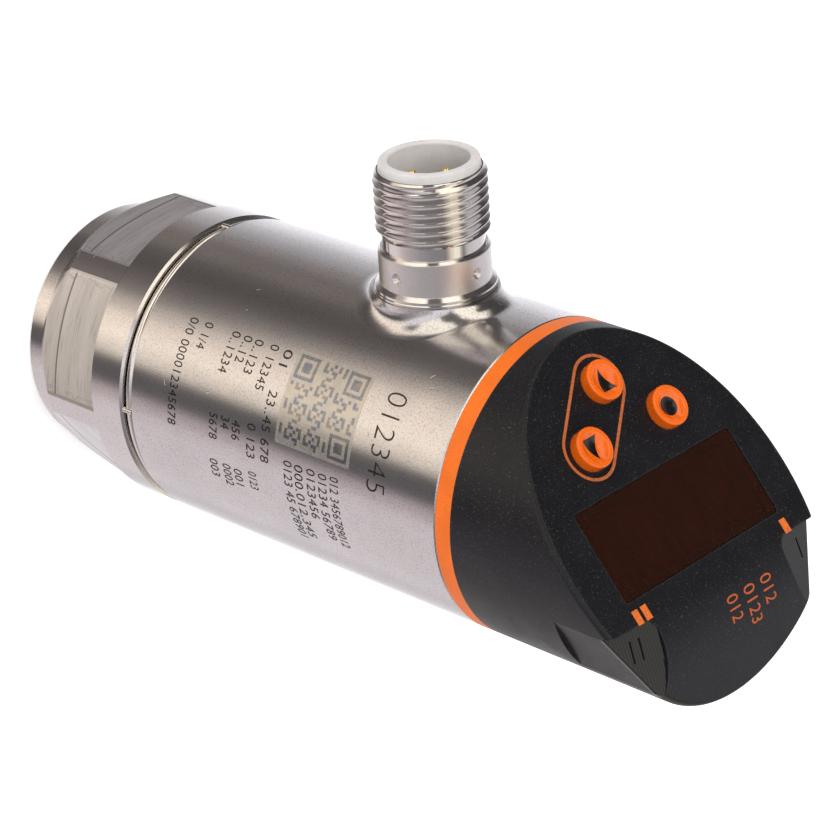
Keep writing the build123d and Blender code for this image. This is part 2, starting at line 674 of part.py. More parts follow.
def display_housing():
    """Moulded head: inclined display face that blends into the end, pockets, posts and spigot."""
    outer = head_skin()
    outer += ring(HEAD_SPIGOT_R, HEAD_SPIGOT_BORE_R, HEAD_SPIGOT_START, HEAD_START)
    hollow = head_block(TUBE_R - HEAD_WALL, HEAD_START + HEAD_WALL / 2, ROOF)
    hollow += disc(HEAD_SPIGOT_BORE_R, HEAD_SPIGOT_START, HEAD_START + HEAD_WALL / 2)
    pad = light_prism(LIGHT_PAD, FAR, LIGHT_DEPTH + LIGHT_PAD)
    hollow -= pad
    hollow -= mirrored(pad)
    body = outer - hollow
    for u, v in post_places():
        post = Cylinder(POST_R, -BOARD_TOP - ROOF + EDGE_BREAK, align=UP)
        body += on_face(post, u, v, BOARD_TOP) & head_block(TUBE_R - HEAD_WALL / 2, HEAD_START, ROOF / 2)
    for u, v in post_places():
        body -= on_face(Cylinder(SCREW_R + SEAT_CLEARANCE / 2, SCREW_LENGTH, align=UP), u, v, BOARD_BOTTOM)
    pocket = light_prism(0, FAR, LIGHT_DEPTH)
    pocket += light_guide(LIGHT_GUIDE_R + SEAT_CLEARANCE)
    body -= pocket
    body -= mirrored(pocket)
    body -= on_face(glass_block(0, GLASS_SINK + GLASS_THICKNESS), 0, GLASS_V, GLASS_BOTTOM)
    body -= on_face(glass_block(-GLASS_LEDGE, ROOF + MODULE_GAP), 0, GLASS_V, MODULE_TOP)
    for u, v in button_places():
        body -= on_face(Cylinder(BUTTON_R + RUNNING_CLEARANCE, 2 * ROOF, align=DOWN), u, v, 1)
    middle = HEAD_SPIGOT_START + HEAD_SEAL_RISE
    half_width = HEAD_SEAL_SECTION + SEAT_CLEARANCE
    floor_r = HEAD_SPIGOT_R - 2 * HEAD_SEAL_SECTION - SEAT_CLEARANCE
    body -= ring(HEAD_SPIGOT_R + 1, floor_r, middle - half_width, middle + half_width)
    return body


def glass_block(grow, height):
    width = GLASS_WIDTH + 2 * grow
    depth = GLASS_HEIGHT + 2 * grow
    return extrude(RectangleRounded(width, depth, GLASS_CORNER), height)


def display_window():
    return on_face(glass_block(-SEAT_CLEARANCE, GLASS_THICKNESS), 0, GLASS_V, GLASS_BOTTOM)


def display_module():
    """Seven-segment block, its digits sunk into the top."""
    width = GLASS_WIDTH - 2 * MODULE_MARGIN
    depth = GLASS_HEIGHT - 2 * MODULE_MARGIN
    module = Box(width, depth, MODULE_HEIGHT, align=UP)
    pitch = width / DIGIT_COUNT
    for place in range(DIGIT_COUNT):
        at = (place - (DIGIT_COUNT - 1) / 2) * pitch
        window = Pos(at, 0, MODULE_HEIGHT) * Box(pitch * 0.7, depth * 0.8, 0.4)
        module -= window
    return on_face(module, 0, GLASS_V, BOARD_TOP)


def display_board():
    """Board parallel to the display face, cut round to pass the spigot."""
    slab = FACE.location * Pos(0, 0, BOARD_BOTTOM) * Box(FAR, FAR, BOARD_THICKNESS, align=UP)
    board_r = HEAD_SPIGOT_BORE_R - DISPLAY_BOARD_CLEARANCE
    board = slab & head_block(board_r, HEAD_SPIGOT_START, ROOF + LIGHT_DEPTH + 2 * LIGHT_PAD)
    for u, v in post_places():
        board -= on_face(Cylinder(SCREW_R + SEAT_CLEARANCE, 2 * BOARD_THICKNESS), u, v, BOARD_BOTTOM)
    return board


def button_places():
    return [(PAIR_U, PAIR_V), (0, LOW_BUTTON_V), (-PAIR_U, PAIR_V)]


def post_places():
    return [(side * u, v) for u, v in (POST_LOW, POST_HIGH) for side in (-1, 1)]


def board_screws():
    screws = []
    for u, v in post_places():
        screw = Cylinder(SCREW_R, SCREW_LENGTH - SEAT_CLEARANCE, align=UP)
        screw += Cylinder(SCREW_HEAD_R, SCREW_HEAD, align=DOWN)
        screws.append(on_face(screw, u, v, BOARD_BOTTOM))
    return Compound(children=screws)


def push_button(place):
    """Cap with a rounded rim and a dished top, a flange that keeps it in and a stem to the switch."""
    outline = [
        (0, BUTTON_BOTTOM),
        (BUTTON_STEM_R, BUTTON_BOTTOM),
        (BUTTON_STEM_R, -ROOF - RUNNING_CLEARANCE - BUTTON_FLANGE),
        (BUTTON_FLANGE_R, -ROOF - RUNNING_CLEARANCE - BUTTON_FLANGE),
        (BUTTON_FLANGE_R, -ROOF - RUNNING_CLEARANCE),
        (BUTTON_R, -ROOF - RUNNING_CLEARANCE),
        (BUTTON_R, BUTTON_RISE),
        (0, BUTTON_RISE),
    ]
    button = turned(outline)
    dish_r = BUTTON_R - BUTTON_RIM
    sphere_r = (dish_r ** 2 + BUTTON_DISH ** 2) / (2 * BUTTON_DISH)
    button -= Pos(0, 0, BUTTON_RISE - BUTTON_DISH + sphere_r) * Sphere(sphere_r)
    top = button.edges().filter_by(GeomType.CIRCLE).group_by(Axis.Z)[-1]
    button = fillet(top, BUTTON_EDGE_R)
    return on_face(button, place[0], place[1])


def tact_switch(place):
    """Small key switch on the display board with its round plunger."""
    switch = Box(SWITCH_SIZE, SWITCH_SIZE, SWITCH_HEIGHT - EDGE_BREAK, align=UP)
    switch += Cylinder(BUTTON_STEM_R, SWITCH_HEIGHT, align=UP)
    return on_face(switch, place[0], place[1], BOARD_TOP)


def seal_ring():
    """Coloured ring between the steel tube and the head."""
    return ring(TUBE_R, HEAD_SPIGOT_R + SEAT_CLEARANCE, TUBE_END, HEAD_START)


def head_seal():
    middle = HEAD_SPIGOT_START + HEAD_SEAL_RISE
    return o_ring(HEAD_SPIGOT_R - HEAD_SEAL_SECTION, HEAD_SEAL_SECTION, middle)


UP_PLACE, DOWN_PLACE, ENTER_PLACE = button_places()
PARTS = {
    "process_connection": process_connection(),
    "rotary_seal": rotary_seal(),
    "locking_ring": locking_ring(),
    "retaining_ring": retaining_ring(),
    "cell_seal": cell_seal(),
    "measuring_cell": measuring_cell(),
    "cell_clamp_ring": cell_clamp_ring(),
    "signal_board": signal_board(),
    "housing_tube": housing_tube(),
    "connector_shell": connector_shell(),
    "connector_seal": connector_seal(),
    "connector_washer": connector_washer(),
    "connector_insert": connector_insert(),
    "connector_board": connector_board(),
    "board_header": board_header(),
    "main_board": main_board(),
    "board_carrier": board_carrier(),
    "seal_ring": seal_ring(),
    "head_seal": head_seal(),
    "display_housing": display_housing(),
    "display_window": display_window(),
    "display_module": display_module(),
    "display_board": display_board(),
    "board_screws": board_screws(),
    "up_button": push_button(UP_PLACE),
    "down_button": push_button(DOWN_PLACE),
    "enter_button": push_button(ENTER_PLACE),
    "up_switch": tact_switch(UP_PLACE),
    "down_switch": tact_switch(DOWN_PLACE),
    "enter_switch": tact_switch(ENTER_PLACE),
    "light_window_right": light_window(2),
    "light_window_left": mirrored(light_window(1)),
}
for number, place in enumerate(pin_places(), start=1):
    PARTS[f"contact_pin_{number}"] = contact_pin(place)

os.makedirs("parts", exist_ok=True)
for name, solid in PARTS.items():
    export_step(solid, f"parts/{name}.step")
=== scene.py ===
"""Looks of an electronic pressure switch: tumbled steel, nickelled plug, black display head."""

import math

import bmesh
import bpy
from mathutils import Matrix, Vector


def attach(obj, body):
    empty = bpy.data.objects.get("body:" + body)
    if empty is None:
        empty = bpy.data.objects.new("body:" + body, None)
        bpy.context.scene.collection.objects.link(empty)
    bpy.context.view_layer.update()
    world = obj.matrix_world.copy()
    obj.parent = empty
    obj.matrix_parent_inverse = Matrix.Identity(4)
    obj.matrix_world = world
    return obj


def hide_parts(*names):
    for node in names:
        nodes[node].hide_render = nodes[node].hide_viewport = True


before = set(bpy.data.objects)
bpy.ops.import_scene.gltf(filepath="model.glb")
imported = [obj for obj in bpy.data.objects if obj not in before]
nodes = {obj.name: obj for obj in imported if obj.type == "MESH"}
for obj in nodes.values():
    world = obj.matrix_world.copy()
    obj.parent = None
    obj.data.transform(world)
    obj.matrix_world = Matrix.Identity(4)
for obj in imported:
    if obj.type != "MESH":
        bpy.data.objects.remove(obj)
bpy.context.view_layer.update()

MM = 0.001

# Sizes that the CAD has too, in millimetres
TUBE_R = 17.0
FACE_HEIGHT = 84.5
FACE_TILT = math.radians(40.0)
HEAD_END = 91.0
BLEND_R = 14.0
BLEND_START_Y = 3.85
BLEND_END_Y = 12.85
CONNECTOR_Z = 51.9
HEX_START, HEX_END = 2.4, 13.8
HEX_ACROSS_FLATS = 30.0
HEX_FLAT_TURN = math.radians(-21.7)
BUTTON_R = 2.22
BUTTON_RISE = 1.2
BUTTON_RIM = 0.55
BUTTON_DISH = 0.7
PLACES = {"up": (5.92, -11.2), "down": (0.0, -16.65), "enter": (-5.92, -11.2)}

# Milling marks on the hexagon, in millimetres: where they are, and from where to where each one fades
CUTTER_R = 25.0
STREAK_LENGTH = 4.0
FLAT_FADE_START, FLAT_FADE_END = 0.8, 0.2
FLAT_HALF, FLAT_SIDE_SOFT = 7.0, 0.1
DEEP_ARC_AT, DEEP_ARC_FADE = 6.0, (0.06, 0.2)
CUT_STOP_AT, CUT_STOP_FADE, CUT_STOP_WANDER = 6.5, (0.03, 0.12), 0.4
# Painted shade: a dark line along the step where the hexagon's flats meet the flange, fading out over these
# millimetres
FLANGE_STEP_SHADE_FADE = (0.08, 0.16)

# The part of the connector's grip that is satin, in millimetres from the tube's axis
SATIN_START, SATIN_END, SATIN_SOFT = 19.0, 22.6, 0.05


# Node building

def add_node(tree, kind, **settings):
    node = tree.nodes.new(kind)
    for name, value in settings.items():
        setattr(node, name, value)
    return node


def feed(tree, socket, value):
    """Join a node's output to a socket, or set the socket to a plain value."""
    if isinstance(value, bpy.types.NodeSocket):
        tree.links.new(value, socket)
    else:
        socket.default_value = value


def math_node(tree, operation, first, second=0.0, third=None):
    node = add_node(tree, "ShaderNodeMath", operation=operation)
    feed(tree, node.inputs[0], first)
    feed(tree, node.inputs[1], second)
    if third is not None:
        feed(tree, node.inputs[2], third)
    return node.outputs[0]


def split(tree, vector):
    """The x, y and z of a vector."""
    node = add_node(tree, "ShaderNodeSeparateXYZ")
    feed(tree, node.inputs[0], vector)
    return node.outputs


def noise(tree, point, size, detail=2.0, roughness=0.5):
    """Noise whose blobs are about size metres wide."""
    node = add_node(tree, "ShaderNodeTexNoise")
    feed(tree, node.inputs["Vector"], point)
    if isinstance(size, bpy.types.NodeSocket):
        feed(tree, node.inputs["Scale"], math_node(tree, "DIVIDE", 1.0, size))
    else:
        node.inputs["Scale"].default_value = 1.0 / size
    node.inputs["Detail"].default_value = detail
    node.inputs["Roughness"].default_value = roughness
    return node.outputs[0]


def spread(tree, value, low, high, to_low, to_high):
    node = add_node(tree, "ShaderNodeMapRange")
    for socket, content in zip(node.inputs, (value, low, high, to_low, to_high)):
        feed(tree, socket, content)
    return node.outputs[0]


def fade_out(tree, value, limits, strength=1.0):
    """Full strength up to the first limit in millimetres, nothing past the second."""
    return spread(tree, value, limits[0] * MM, limits[1] * MM, strength, 0.0)


def between(tree, value, low, high, soft):
    """1 between two limits in millimetres and 0 outside, with a step that is soft on both sides."""
    rise = spread(tree, value, (low - soft) * MM, (low + soft) * MM, 0.0, 1.0)
    return math_node(tree, "MULTIPLY", rise, fade_out(tree, value, (high - soft, high + soft)))


def distance_from(tree, value, place):
    """How far a value in metres is from a place in millimetres."""
    return math_node(tree, "ABSOLUTE", math_node(tree, "SUBTRACT", value, place * MM))


def blend_colors(tree, mask, first, second):
    node = add_node(tree, "ShaderNodeMix", data_type="RGBA")
    feed(tree, node.inputs[0], mask)
    feed(tree, node.inputs[6], first)
    feed(tree, node.inputs[7], second)
    return node.outputs[2]


def ramp(tree, value, stops):
    """Colours along a value from 0 to 1, eased from stop to stop."""
    node = add_node(tree, "ShaderNodeValToRGB")
    feed(tree, node.inputs[0], value)
    band = node.color_ramp
    band.interpolation = "EASE"
    while len(band.elements) > 1:
        band.elements.remove(band.elements[-1])
    for number, (place, color) in enumerate(stops):
        stop = band.elements[0] if number == 0 else band.elements.new(place)
        stop.position = place
        stop.color = tuple(color) + (1.0,)
    return node.outputs[0]


def new_group(name, inputs, outputs):
    tree = bpy.data.node_groups.new(name, "ShaderNodeTree")
    kinds = {"number": "NodeSocketFloat", "color": "NodeSocketColor", "vector": "NodeSocketVector"}
    for label, kind, value in inputs:
        socket = tree.interface.new_socket(name=label, in_out="INPUT", socket_type=kinds[kind])
        if kind != "vector":
            socket.default_value = value
    for label, kind in outputs:
        tree.interface.new_socket(name=label, in_out="OUTPUT", socket_type=kinds[kind])
    return tree, tree.nodes.new("NodeGroupInput").outputs, tree.nodes.new("NodeGroupOutput").inputs


def place_group(tree, group, **values):
    """Put an effect group into a material: its inputs are named with underscores for spaces."""
    node = add_node(tree, "ShaderNodeGroup")
    node.node_tree = group
    for name, value in values.items():
        feed(tree, node.inputs[name.replace("_", " ")], value)
    return node.outputs


# Effects that several finishes share

def make_tumbled_grain():
    """Fine pits and slow clouds of metal that was tumbled or blasted."""
    inputs = [
        ("Point", "vector", None), ("Grain Size", "number", 0.00014), ("Cloud Size", "number", 0.006),
        ("Light Color", "color", (0.7, 0.7, 0.7, 1)), ("Dark Color", "color", (0.5, 0.5, 0.5, 1)),
        ("Smooth", "number", 0.2), ("Rough", "number", 0.3),
    ]
    tree, given, out = new_group("tumbled grain", inputs, [
        ("Color", "color"), ("Roughness", "number"), ("Height", "number")])
    grain = noise(tree, given["Point"], given["Grain Size"], 3.0, 0.65)
    cloud = noise(tree, given["Point"], given["Cloud Size"], 4.0, 0.6)
    pits = spread(tree, grain, 0.36, 0.5, 0.0, 1.0)
    mix = math_node(tree, "MULTIPLY", pits, spread(tree, cloud, 0.35, 0.65, 0.75, 1.0))
    feed(tree, out["Color"], blend_colors(tree, mix, given["Dark Color"], given["Light Color"]))
    feed(tree, out["Roughness"], spread(tree, math_node(tree, "ADD", grain, cloud), 0.7, 1.3,
                                        given["Rough"], given["Smooth"]))
    feed(tree, out["Height"], grain)
    return tree


def make_turning_lines():
    """Fine tool lines round the Z axis of the point it is given."""
    inputs = [("Point", "vector", None), ("Line Width", "number", 0.0001)]
    tree, given, out = new_group("turning lines", inputs, [("Height", "number")])
    x, y, z = split(tree, given["Point"])
    squares = math_node(tree, "ADD", math_node(tree, "POWER", x, 2.0),
                        math_node(tree, "POWER", y, 2.0))
    radius = math_node(tree, "SQRT", squares)
    around = add_node(tree, "ShaderNodeCombineXYZ")
    feed(tree, around.inputs[0], math_node(tree, "DIVIDE", radius, given["Line Width"]))
    feed(tree, around.inputs[1], math_node(tree, "DIVIDE", z, given["Line Width"]))
    turn = math_node(tree, "ARCTAN2", y, x)
    feed(tree, around.inputs[2], math_node(tree, "MULTIPLY", turn, 0.6))
    lines = add_node(tree, "ShaderNodeTexNoise")
    feed(tree, lines.inputs["Vector"], around.outputs[0])
    lines.inputs["Scale"].default_value = 1.0
    lines.inputs["Detail"].default_value = 2.0
    feed(tree, out["Height"], lines.outputs[0])
    return tree


def make_edge_abrasion_and_highlight():
    """Mask of edges, for abrasion and for a painted highlight line along rims: where the softened normal
    leaves the true one.
    """
    inputs = [("Point", "vector", None), ("Width", "number", 0.0003), ("Breakup", "number", 0.0006)]
    tree, given, out = new_group("edge abrasion and highlight", inputs, [("Mask", "number")])
    soft = add_node(tree, "ShaderNodeBevel", samples=6)
    feed(tree, soft.inputs["Radius"], given["Width"])
    true = add_node(tree, "ShaderNodeNewGeometry")
    dot = add_node(tree, "ShaderNodeVectorMath", operation="DOT_PRODUCT")
    feed(tree, dot.inputs[0], soft.outputs[0])
    feed(tree, dot.inputs[1], true.outputs["Normal"])
    edge_share = spread(tree, dot.outputs["Value"], 0.99, 0.86, 0.0, 1.0)
    patchy = spread(tree, noise(tree, given["Point"], given["Breakup"], 3.0, 0.6), 0.35, 0.6, 0.35, 1.0)
    feed(tree, out["Mask"], math_node(tree, "MULTIPLY", edge_share, patchy))
    return tree


def make_moulded_grain():
    """The eroded texture of a moulding tool: small rounded pits between low bumps."""
    inputs = [("Point", "vector", None), ("Grain Size", "number", 0.00025)]
    tree, given, out = new_group("moulded grain", inputs, [("Height", "number"), ("Fleck", "number")])
    cells = add_node(tree, "ShaderNodeTexVoronoi", feature="SMOOTH_F1")
    feed(tree, cells.inputs["Vector"], given["Point"])
    feed(tree, cells.inputs["Scale"], math_node(tree, "DIVIDE", 1.0, given["Grain Size"]))
    fine = noise(tree, given["Point"], given["Grain Size"], 3.0, 0.7)
    height = math_node(tree, "ADD", cells.outputs["Distance"], fine)
    feed(tree, out["Height"], height)
    feed(tree, out["Fleck"], spread(tree, fine, 0.6, 0.72, 0.0, 1.0))
    return tree


def make_milled_flats():
    """Arcs that the cutter left on the hexagon's flats, one deep one, and ragged lines where it stopped."""
    inputs = [("Point", "vector", None), ("Line Width", "number", 0.0003)]
    tree, given, out = new_group("milled flats", inputs, [
        ("Height", "number"), ("Shade", "number"), ("On Flat", "number")])
    x, y, z = split(tree, given["Point"])
    turn = math_node(tree, "ARCTAN2", y, x)
    turn = math_node(tree, "SUBTRACT", turn, HEX_FLAT_TURN)
    folded = math_node(tree, "WRAP", turn, math.radians(30), math.radians(-30))
    across = math_node(tree, "MULTIPLY", math_node(tree, "TANGENT", folded), HEX_ACROSS_FLATS / 2 * MM)
    squared = math_node(tree, "MULTIPLY", across, across)
    sagged = math_node(tree, "MULTIPLY", squared, 1 / (2 * CUTTER_R * MM))
    arc = math_node(tree, "SUBTRACT", z, sagged)
    place = add_node(tree, "ShaderNodeCombineXYZ")
    feed(tree, place.inputs[0], math_node(tree, "DIVIDE", arc, given["Line Width"]))
    feed(tree, place.inputs[1], math_node(tree, "DIVIDE", across, STREAK_LENGTH * MM))
    feed(tree, place.inputs[2], math_node(tree, "SUBTRACT", turn, folded))
    lines = add_node(tree, "ShaderNodeTexNoise")
    feed(tree, lines.inputs["Vector"], place.outputs[0])
    lines.inputs["Scale"].default_value = 1.0
    lines.inputs["Detail"].default_value = 3.0
    above = spread(tree, z, HEX_START * MM, (HEX_START + FLAT_FADE_START) * MM, 0.0, 1.0)
    below = fade_out(tree, z, (HEX_END - FLAT_FADE_END, HEX_END))
    far = math_node(tree, "ABSOLUTE", across)
    inside = fade_out(tree, far, (FLAT_HALF - FLAT_SIDE_SOFT, FLAT_HALF + FLAT_SIDE_SOFT))
    on_flat = math_node(tree, "MULTIPLY", math_node(tree, "MULTIPLY", above, below), inside)
    deep = fade_out(tree, distance_from(tree, arc, DEEP_ARC_AT), DEEP_ARC_FADE)
    uneven = noise(tree, given["Point"], 0.0007, 2.0)
    wander = spread(tree, uneven, 0.3, 0.7, -CUT_STOP_WANDER * MM, CUT_STOP_WANDER * MM)
    stop = distance_from(tree, math_node(tree, "ADD", far, wander), CUT_STOP_AT)
    ragged = fade_out(tree, stop, CUT_STOP_FADE, 0.45)
    bands = noise(tree, place.outputs[0], 6.0, 1.0)
    streaks = math_node(tree, "ADD", spread(tree, lines.outputs[0], 0.46, 0.3, 0.0, 0.35),
                        spread(tree, bands, 0.35, 0.65, 0.2, 0.0))
    shade = math_node(tree, "MAXIMUM", math_node(tree, "MAXIMUM", deep, ragged), streaks)
    feed(tree, out["Shade"], math_node(tree, "MULTIPLY", shade, on_flat))
    feed(tree, out["Height"], math_node(tree, "MULTIPLY", lines.outputs[0], on_flat))
    feed(tree, out["On Flat"], on_flat)
    return tree


def make_handling_marks():
    """A few short curved scratches, far apart."""
    inputs = [("Point", "vector", None), ("Spacing", "number", 0.005)]
    tree, given, out = new_group("handling marks", inputs, [("Mask", "number")])
    cells = add_node(tree, "ShaderNodeTexVoronoi", feature="F1")
    feed(tree, cells.inputs["Vector"], given["Point"])
    feed(tree, cells.inputs["Scale"], math_node(tree, "DIVIDE", 1.0, given["Spacing"]))
    off_ring = math_node(tree, "ABSOLUTE", math_node(tree, "SUBTRACT", cells.outputs["Distance"], 0.3))
    ring = spread(tree, off_ring, 0.003, 0.009, 1.0, 0.0)
    broken = spread(tree, noise(tree, given["Point"], 0.0012, 2.0), 0.6, 0.63, 0.0, 1.0)
    rare = spread(tree, split(tree, cells.outputs["Color"])[0], 0.6, 0.62, 0.0, 1.0)
    feed(tree, out["Mask"], math_node(tree, "MULTIPLY", math_node(tree, "MULTIPLY", ring, broken), rare))
    return tree


TUMBLED = make_tumbled_grain()
MILLED = make_milled_flats()
MARKS = make_handling_marks()
LINES = make_turning_lines()
EDGE_ABRASION_AND_HIGHLIGHT = make_edge_abrasion_and_highlight()
MOULDED = make_moulded_grain()


def new_finish(name, metallic=0.0, specular=0.5, **plain):
    """A material with its shader, and the point that its textures use."""
    finish = bpy.data.materials.new(name)
    finish.use_nodes = True
    tree = finish.node_tree
    tree.nodes.clear()
    shader = add_node(tree, "ShaderNodeBsdfPrincipled")
    surface = add_node(tree, "ShaderNodeOutputMaterial")
    tree.links.new(shader.outputs[0], surface.inputs[0])
    shader.inputs["Metallic"].default_value = metallic
    shader.inputs["Specular IOR Level"].default_value = specular
    for label, value in plain.items():
        shader.inputs[label.replace("_", " ")].default_value = value
    point = add_node(tree, "ShaderNodeTexCoord").outputs["Object"]
    return finish, tree, shader, point


def bump(tree, shader, height, depth):
    node = add_node(tree, "ShaderNodeBump")
    node.inputs["Distance"].default_value = depth
    feed(tree, node.inputs["Height"], height)
    feed(tree, shader.inputs["Normal"], node.outputs[0])


def turned_point(tree, point, along):
    """The point seen from the axis of the connector (along -Y) or of the tube (along Z)."""
    if along == "Z":
        return point
    mapping = add_node(tree, "ShaderNodeMapping")
    feed(tree, mapping.inputs["Vector"], point)
    mapping.inputs["Rotation"].default_value = (math.radians(-90), 0, 0)
    mapping.inputs["Location"].default_value = (0, CONNECTOR_Z * MM, 0)
    return mapping.outputs[0]


# Finishes

def turned_metal(name, light, dark, smooth, rough, grain=0.00014, line=0.00009, depth=1.2e-6, along="Z",
                 grain_share=0.6, scratched=False, milled=False, satin_grip=False):
    """Turned and tumbled metal: clouds, pits and tool lines round its axis."""
    finish, tree, shader, point = new_finish(name, metallic=1.0)
    tumbled = place_group(tree, TUMBLED, Point=point, Grain_Size=grain, Light_Color=light + (1,),
                          Dark_Color=dark + (1,), Smooth=smooth, Rough=rough)
    lines = place_group(tree, LINES, Point=turned_point(tree, point, along), Line_Width=line)
    color = tumbled["Color"]
    roughness = tumbled["Roughness"]
    mix = math_node(tree, "MULTIPLY_ADD", tumbled["Height"], grain_share,
                    math_node(tree, "MULTIPLY", lines["Height"], 1.0 - grain_share))
    if scratched:
        marks = place_group(tree, MARKS, Point=point)
        mix = math_node(tree, "MULTIPLY_ADD", marks["Mask"], -2.0, mix)
        roughness = math_node(tree, "MULTIPLY_ADD", marks["Mask"], 0.2, roughness)
    if satin_grip:
        satin = between(tree, split(tree, point)[1], -SATIN_END, -SATIN_START, SATIN_SOFT)
        roughness = math_node(tree, "MULTIPLY_ADD", satin, 0.26, roughness)
    if milled:
        flats = place_group(tree, MILLED, Point=point)
        # Painted shade along the step from the flats to the flange, darkened with the same colour as the
        # tool marks
        off_corner = distance_from(tree, split(tree, point)[2], HEX_END)
        painted_step_shade = fade_out(tree, off_corner, FLANGE_STEP_SHADE_FADE, 0.85)
        shade = math_node(tree, "MAXIMUM", flats["Shade"], painted_step_shade)
        color = blend_colors(tree, flats["On Flat"], color, (0.84, 0.83, 0.83, 1))
        color = blend_colors(tree, shade, color, (0.3, 0.285, 0.27, 1))
        mix = math_node(tree, "MULTIPLY_ADD", flats["Height"], 2.0, mix)
        roughness = math_node(tree, "MULTIPLY_ADD", flats["On Flat"], 0.1, roughness)
    feed(tree, shader.inputs["Base Color"], color)
    feed(tree, shader.inputs["Roughness"], roughness)
    bump(tree, shader, mix, depth)
    return finish


def moulded_plastic(name, color, fleck, roughness, specular=0.3, grain=0.00025, depth=6e-6, abrasion_and_highlight=None,
                    **plain):
    """Moulded plastic with tool grain and faint flecks, and paler edges where an edge colour is given:
    abrasion, and a painted highlight along rims.
    """
    finish, tree, shader, point = new_finish(name, specular=specular, **plain)
    grains = place_group(tree, MOULDED, Point=point, Grain_Size=grain)
    cloud = noise(tree, point, 0.004, 4.0, 0.6)
    low = tuple(0.86 * c for c in color) + (1,)
    surface_color = blend_colors(tree, spread(tree, cloud, 0.35, 0.65, 0, 1), low, color + (1,))
    surface_color = blend_colors(tree, grains["Fleck"], surface_color, fleck + (1,))
    if abrasion_and_highlight:
        # Paler edges: a painted highlight along rims, together with abrasion
        abrasion_and_highlight_mask = place_group(tree, EDGE_ABRASION_AND_HIGHLIGHT, Point=point, Width=0.0003)
        surface_color = blend_colors(tree, abrasion_and_highlight_mask["Mask"], surface_color, abrasion_and_highlight + (1,))
    feed(tree, shader.inputs["Base Color"], surface_color)
    feed(tree, shader.inputs["Roughness"], spread(tree, cloud, 0.3, 0.7, roughness - 0.05, roughness + 0.06))
    bump(tree, shader, grains["Height"], depth)
    return finish


def tinted_glass(name, color, roughness, clear, ior, ribbed=False):
    """Dark plastic, clear by a share, with faint wipe marks in its gloss and fine ribs if asked."""
    finish, tree, shader, point = new_finish(name, specular=0.5, Transmission_Weight=clear, IOR=ior)
    smear = noise(tree, point, 0.002, 4.0, 0.6)
    deep = tuple(0.8 * c for c in color) + (1,)
    feed(tree, shader.inputs["Base Color"], blend_colors(tree, smear, deep, color + (1,)))
    feed(tree, shader.inputs["Roughness"], spread(tree, smear, 0.4, 0.7, roughness, roughness + 0.05))
    if ribbed:
        ribs = add_node(tree, "ShaderNodeTexWave", bands_direction="X")
        feed(tree, ribs.inputs["Vector"], point)
        ribs.inputs["Scale"].default_value = 900.0
        bump(tree, shader, ribs.outputs["Fac"], 7e-6)
    else:
        bump(tree, shader, smear, 1e-6)
    return finish


def digit_block():
    """Unlit digit block: dark brown, with faint upright ribs."""
    finish, tree, shader, point = new_finish("digit_block", specular=0.1)
    ribs = add_node(tree, "ShaderNodeTexWave", bands_direction="X")
    feed(tree, ribs.inputs["Vector"], point)
    for label, value in (("Scale", 190.0), ("Distortion", 1.5), ("Detail", 2.0), ("Detail Scale", 2.0)):
        ribs.inputs[label].default_value = value
    feed(tree, shader.inputs["Base Color"],
         blend_colors(tree, ribs.outputs["Fac"], (0.03, 0.008, 0.005, 1), (0.075, 0.02, 0.012, 1)))
    feed(tree, shader.inputs["Roughness"], spread(tree, ribs.outputs["Fac"], 0.0, 1.0, 0.5, 0.6))
    return finish


def board_green():
    """Solder mask with copper tracks showing through as paler lines."""
    finish, tree, shader, point = new_finish("board_green", specular=0.5)
    tracks = add_node(tree, "ShaderNodeTexBrick", offset=0.37, squash=0.6)
    feed(tree, tracks.inputs["Vector"], point)
    for label, value in (("Scale", 420.0), ("Mortar Size", 0.035), ("Mortar Smooth", 0.3)):
        tracks.inputs[label].default_value = value
    tracks.inputs["Color1"].default_value = (0.006, 0.09, 0.03, 1)
    tracks.inputs["Color2"].default_value = (0.008, 0.07, 0.028, 1)
    tracks.inputs["Mortar"].default_value = (0.03, 0.2, 0.07, 1)
    cloud = noise(tree, point, 0.0012, 3.0)
    feed(tree, shader.inputs["Base Color"], tracks.outputs["Color"])
    feed(tree, shader.inputs["Roughness"], spread(tree, cloud, 0.3, 0.7, 0.25, 0.45))
    bump(tree, shader, tracks.outputs["Fac"], 2e-5)
    return finish


STEEL = turned_metal(
    "tumbled_steel", light=(0.68, 0.665, 0.66), dark=(0.5, 0.485, 0.48), smooth=0.11, rough=0.2,
    grain=0.0002, depth=4.5e-6, grain_share=0.75, scratched=True)
FITTING_STEEL = turned_metal(
    "machined_steel", light=(0.7, 0.68, 0.665), dark=(0.56, 0.54, 0.53), smooth=0.1, rough=0.18,
    grain=0.0002, line=0.00022, depth=2.4e-6, grain_share=0.5, scratched=True, milled=True)
SPRING = turned_metal(
    "spring_steel", light=(0.78, 0.75, 0.71), dark=(0.6, 0.57, 0.54), smooth=0.1, rough=0.18)
NICKEL = turned_metal(
    "nickel_plate", light=(0.76, 0.735, 0.715), dark=(0.7, 0.675, 0.655), smooth=0.06, rough=0.12,
    grain=0.0003, line=0.00018, depth=1.0e-6, along="-Y", grain_share=0.3, satin_grip=True)
GOLD = turned_metal(
    "gold_plate", light=(1.0, 0.78, 0.36), dark=(0.9, 0.62, 0.22), smooth=0.08, rough=0.16, along="-Y")
INSERT = moulded_plastic(
    "insert_plastic", color=(0.56, 0.535, 0.52), fleck=(0.6, 0.58, 0.56), roughness=0.42, specular=0.4,
    depth=3e-6, abrasion_and_highlight=(0.66, 0.65, 0.63), Subsurface_Weight=0.15, Subsurface_Scale=0.0006)
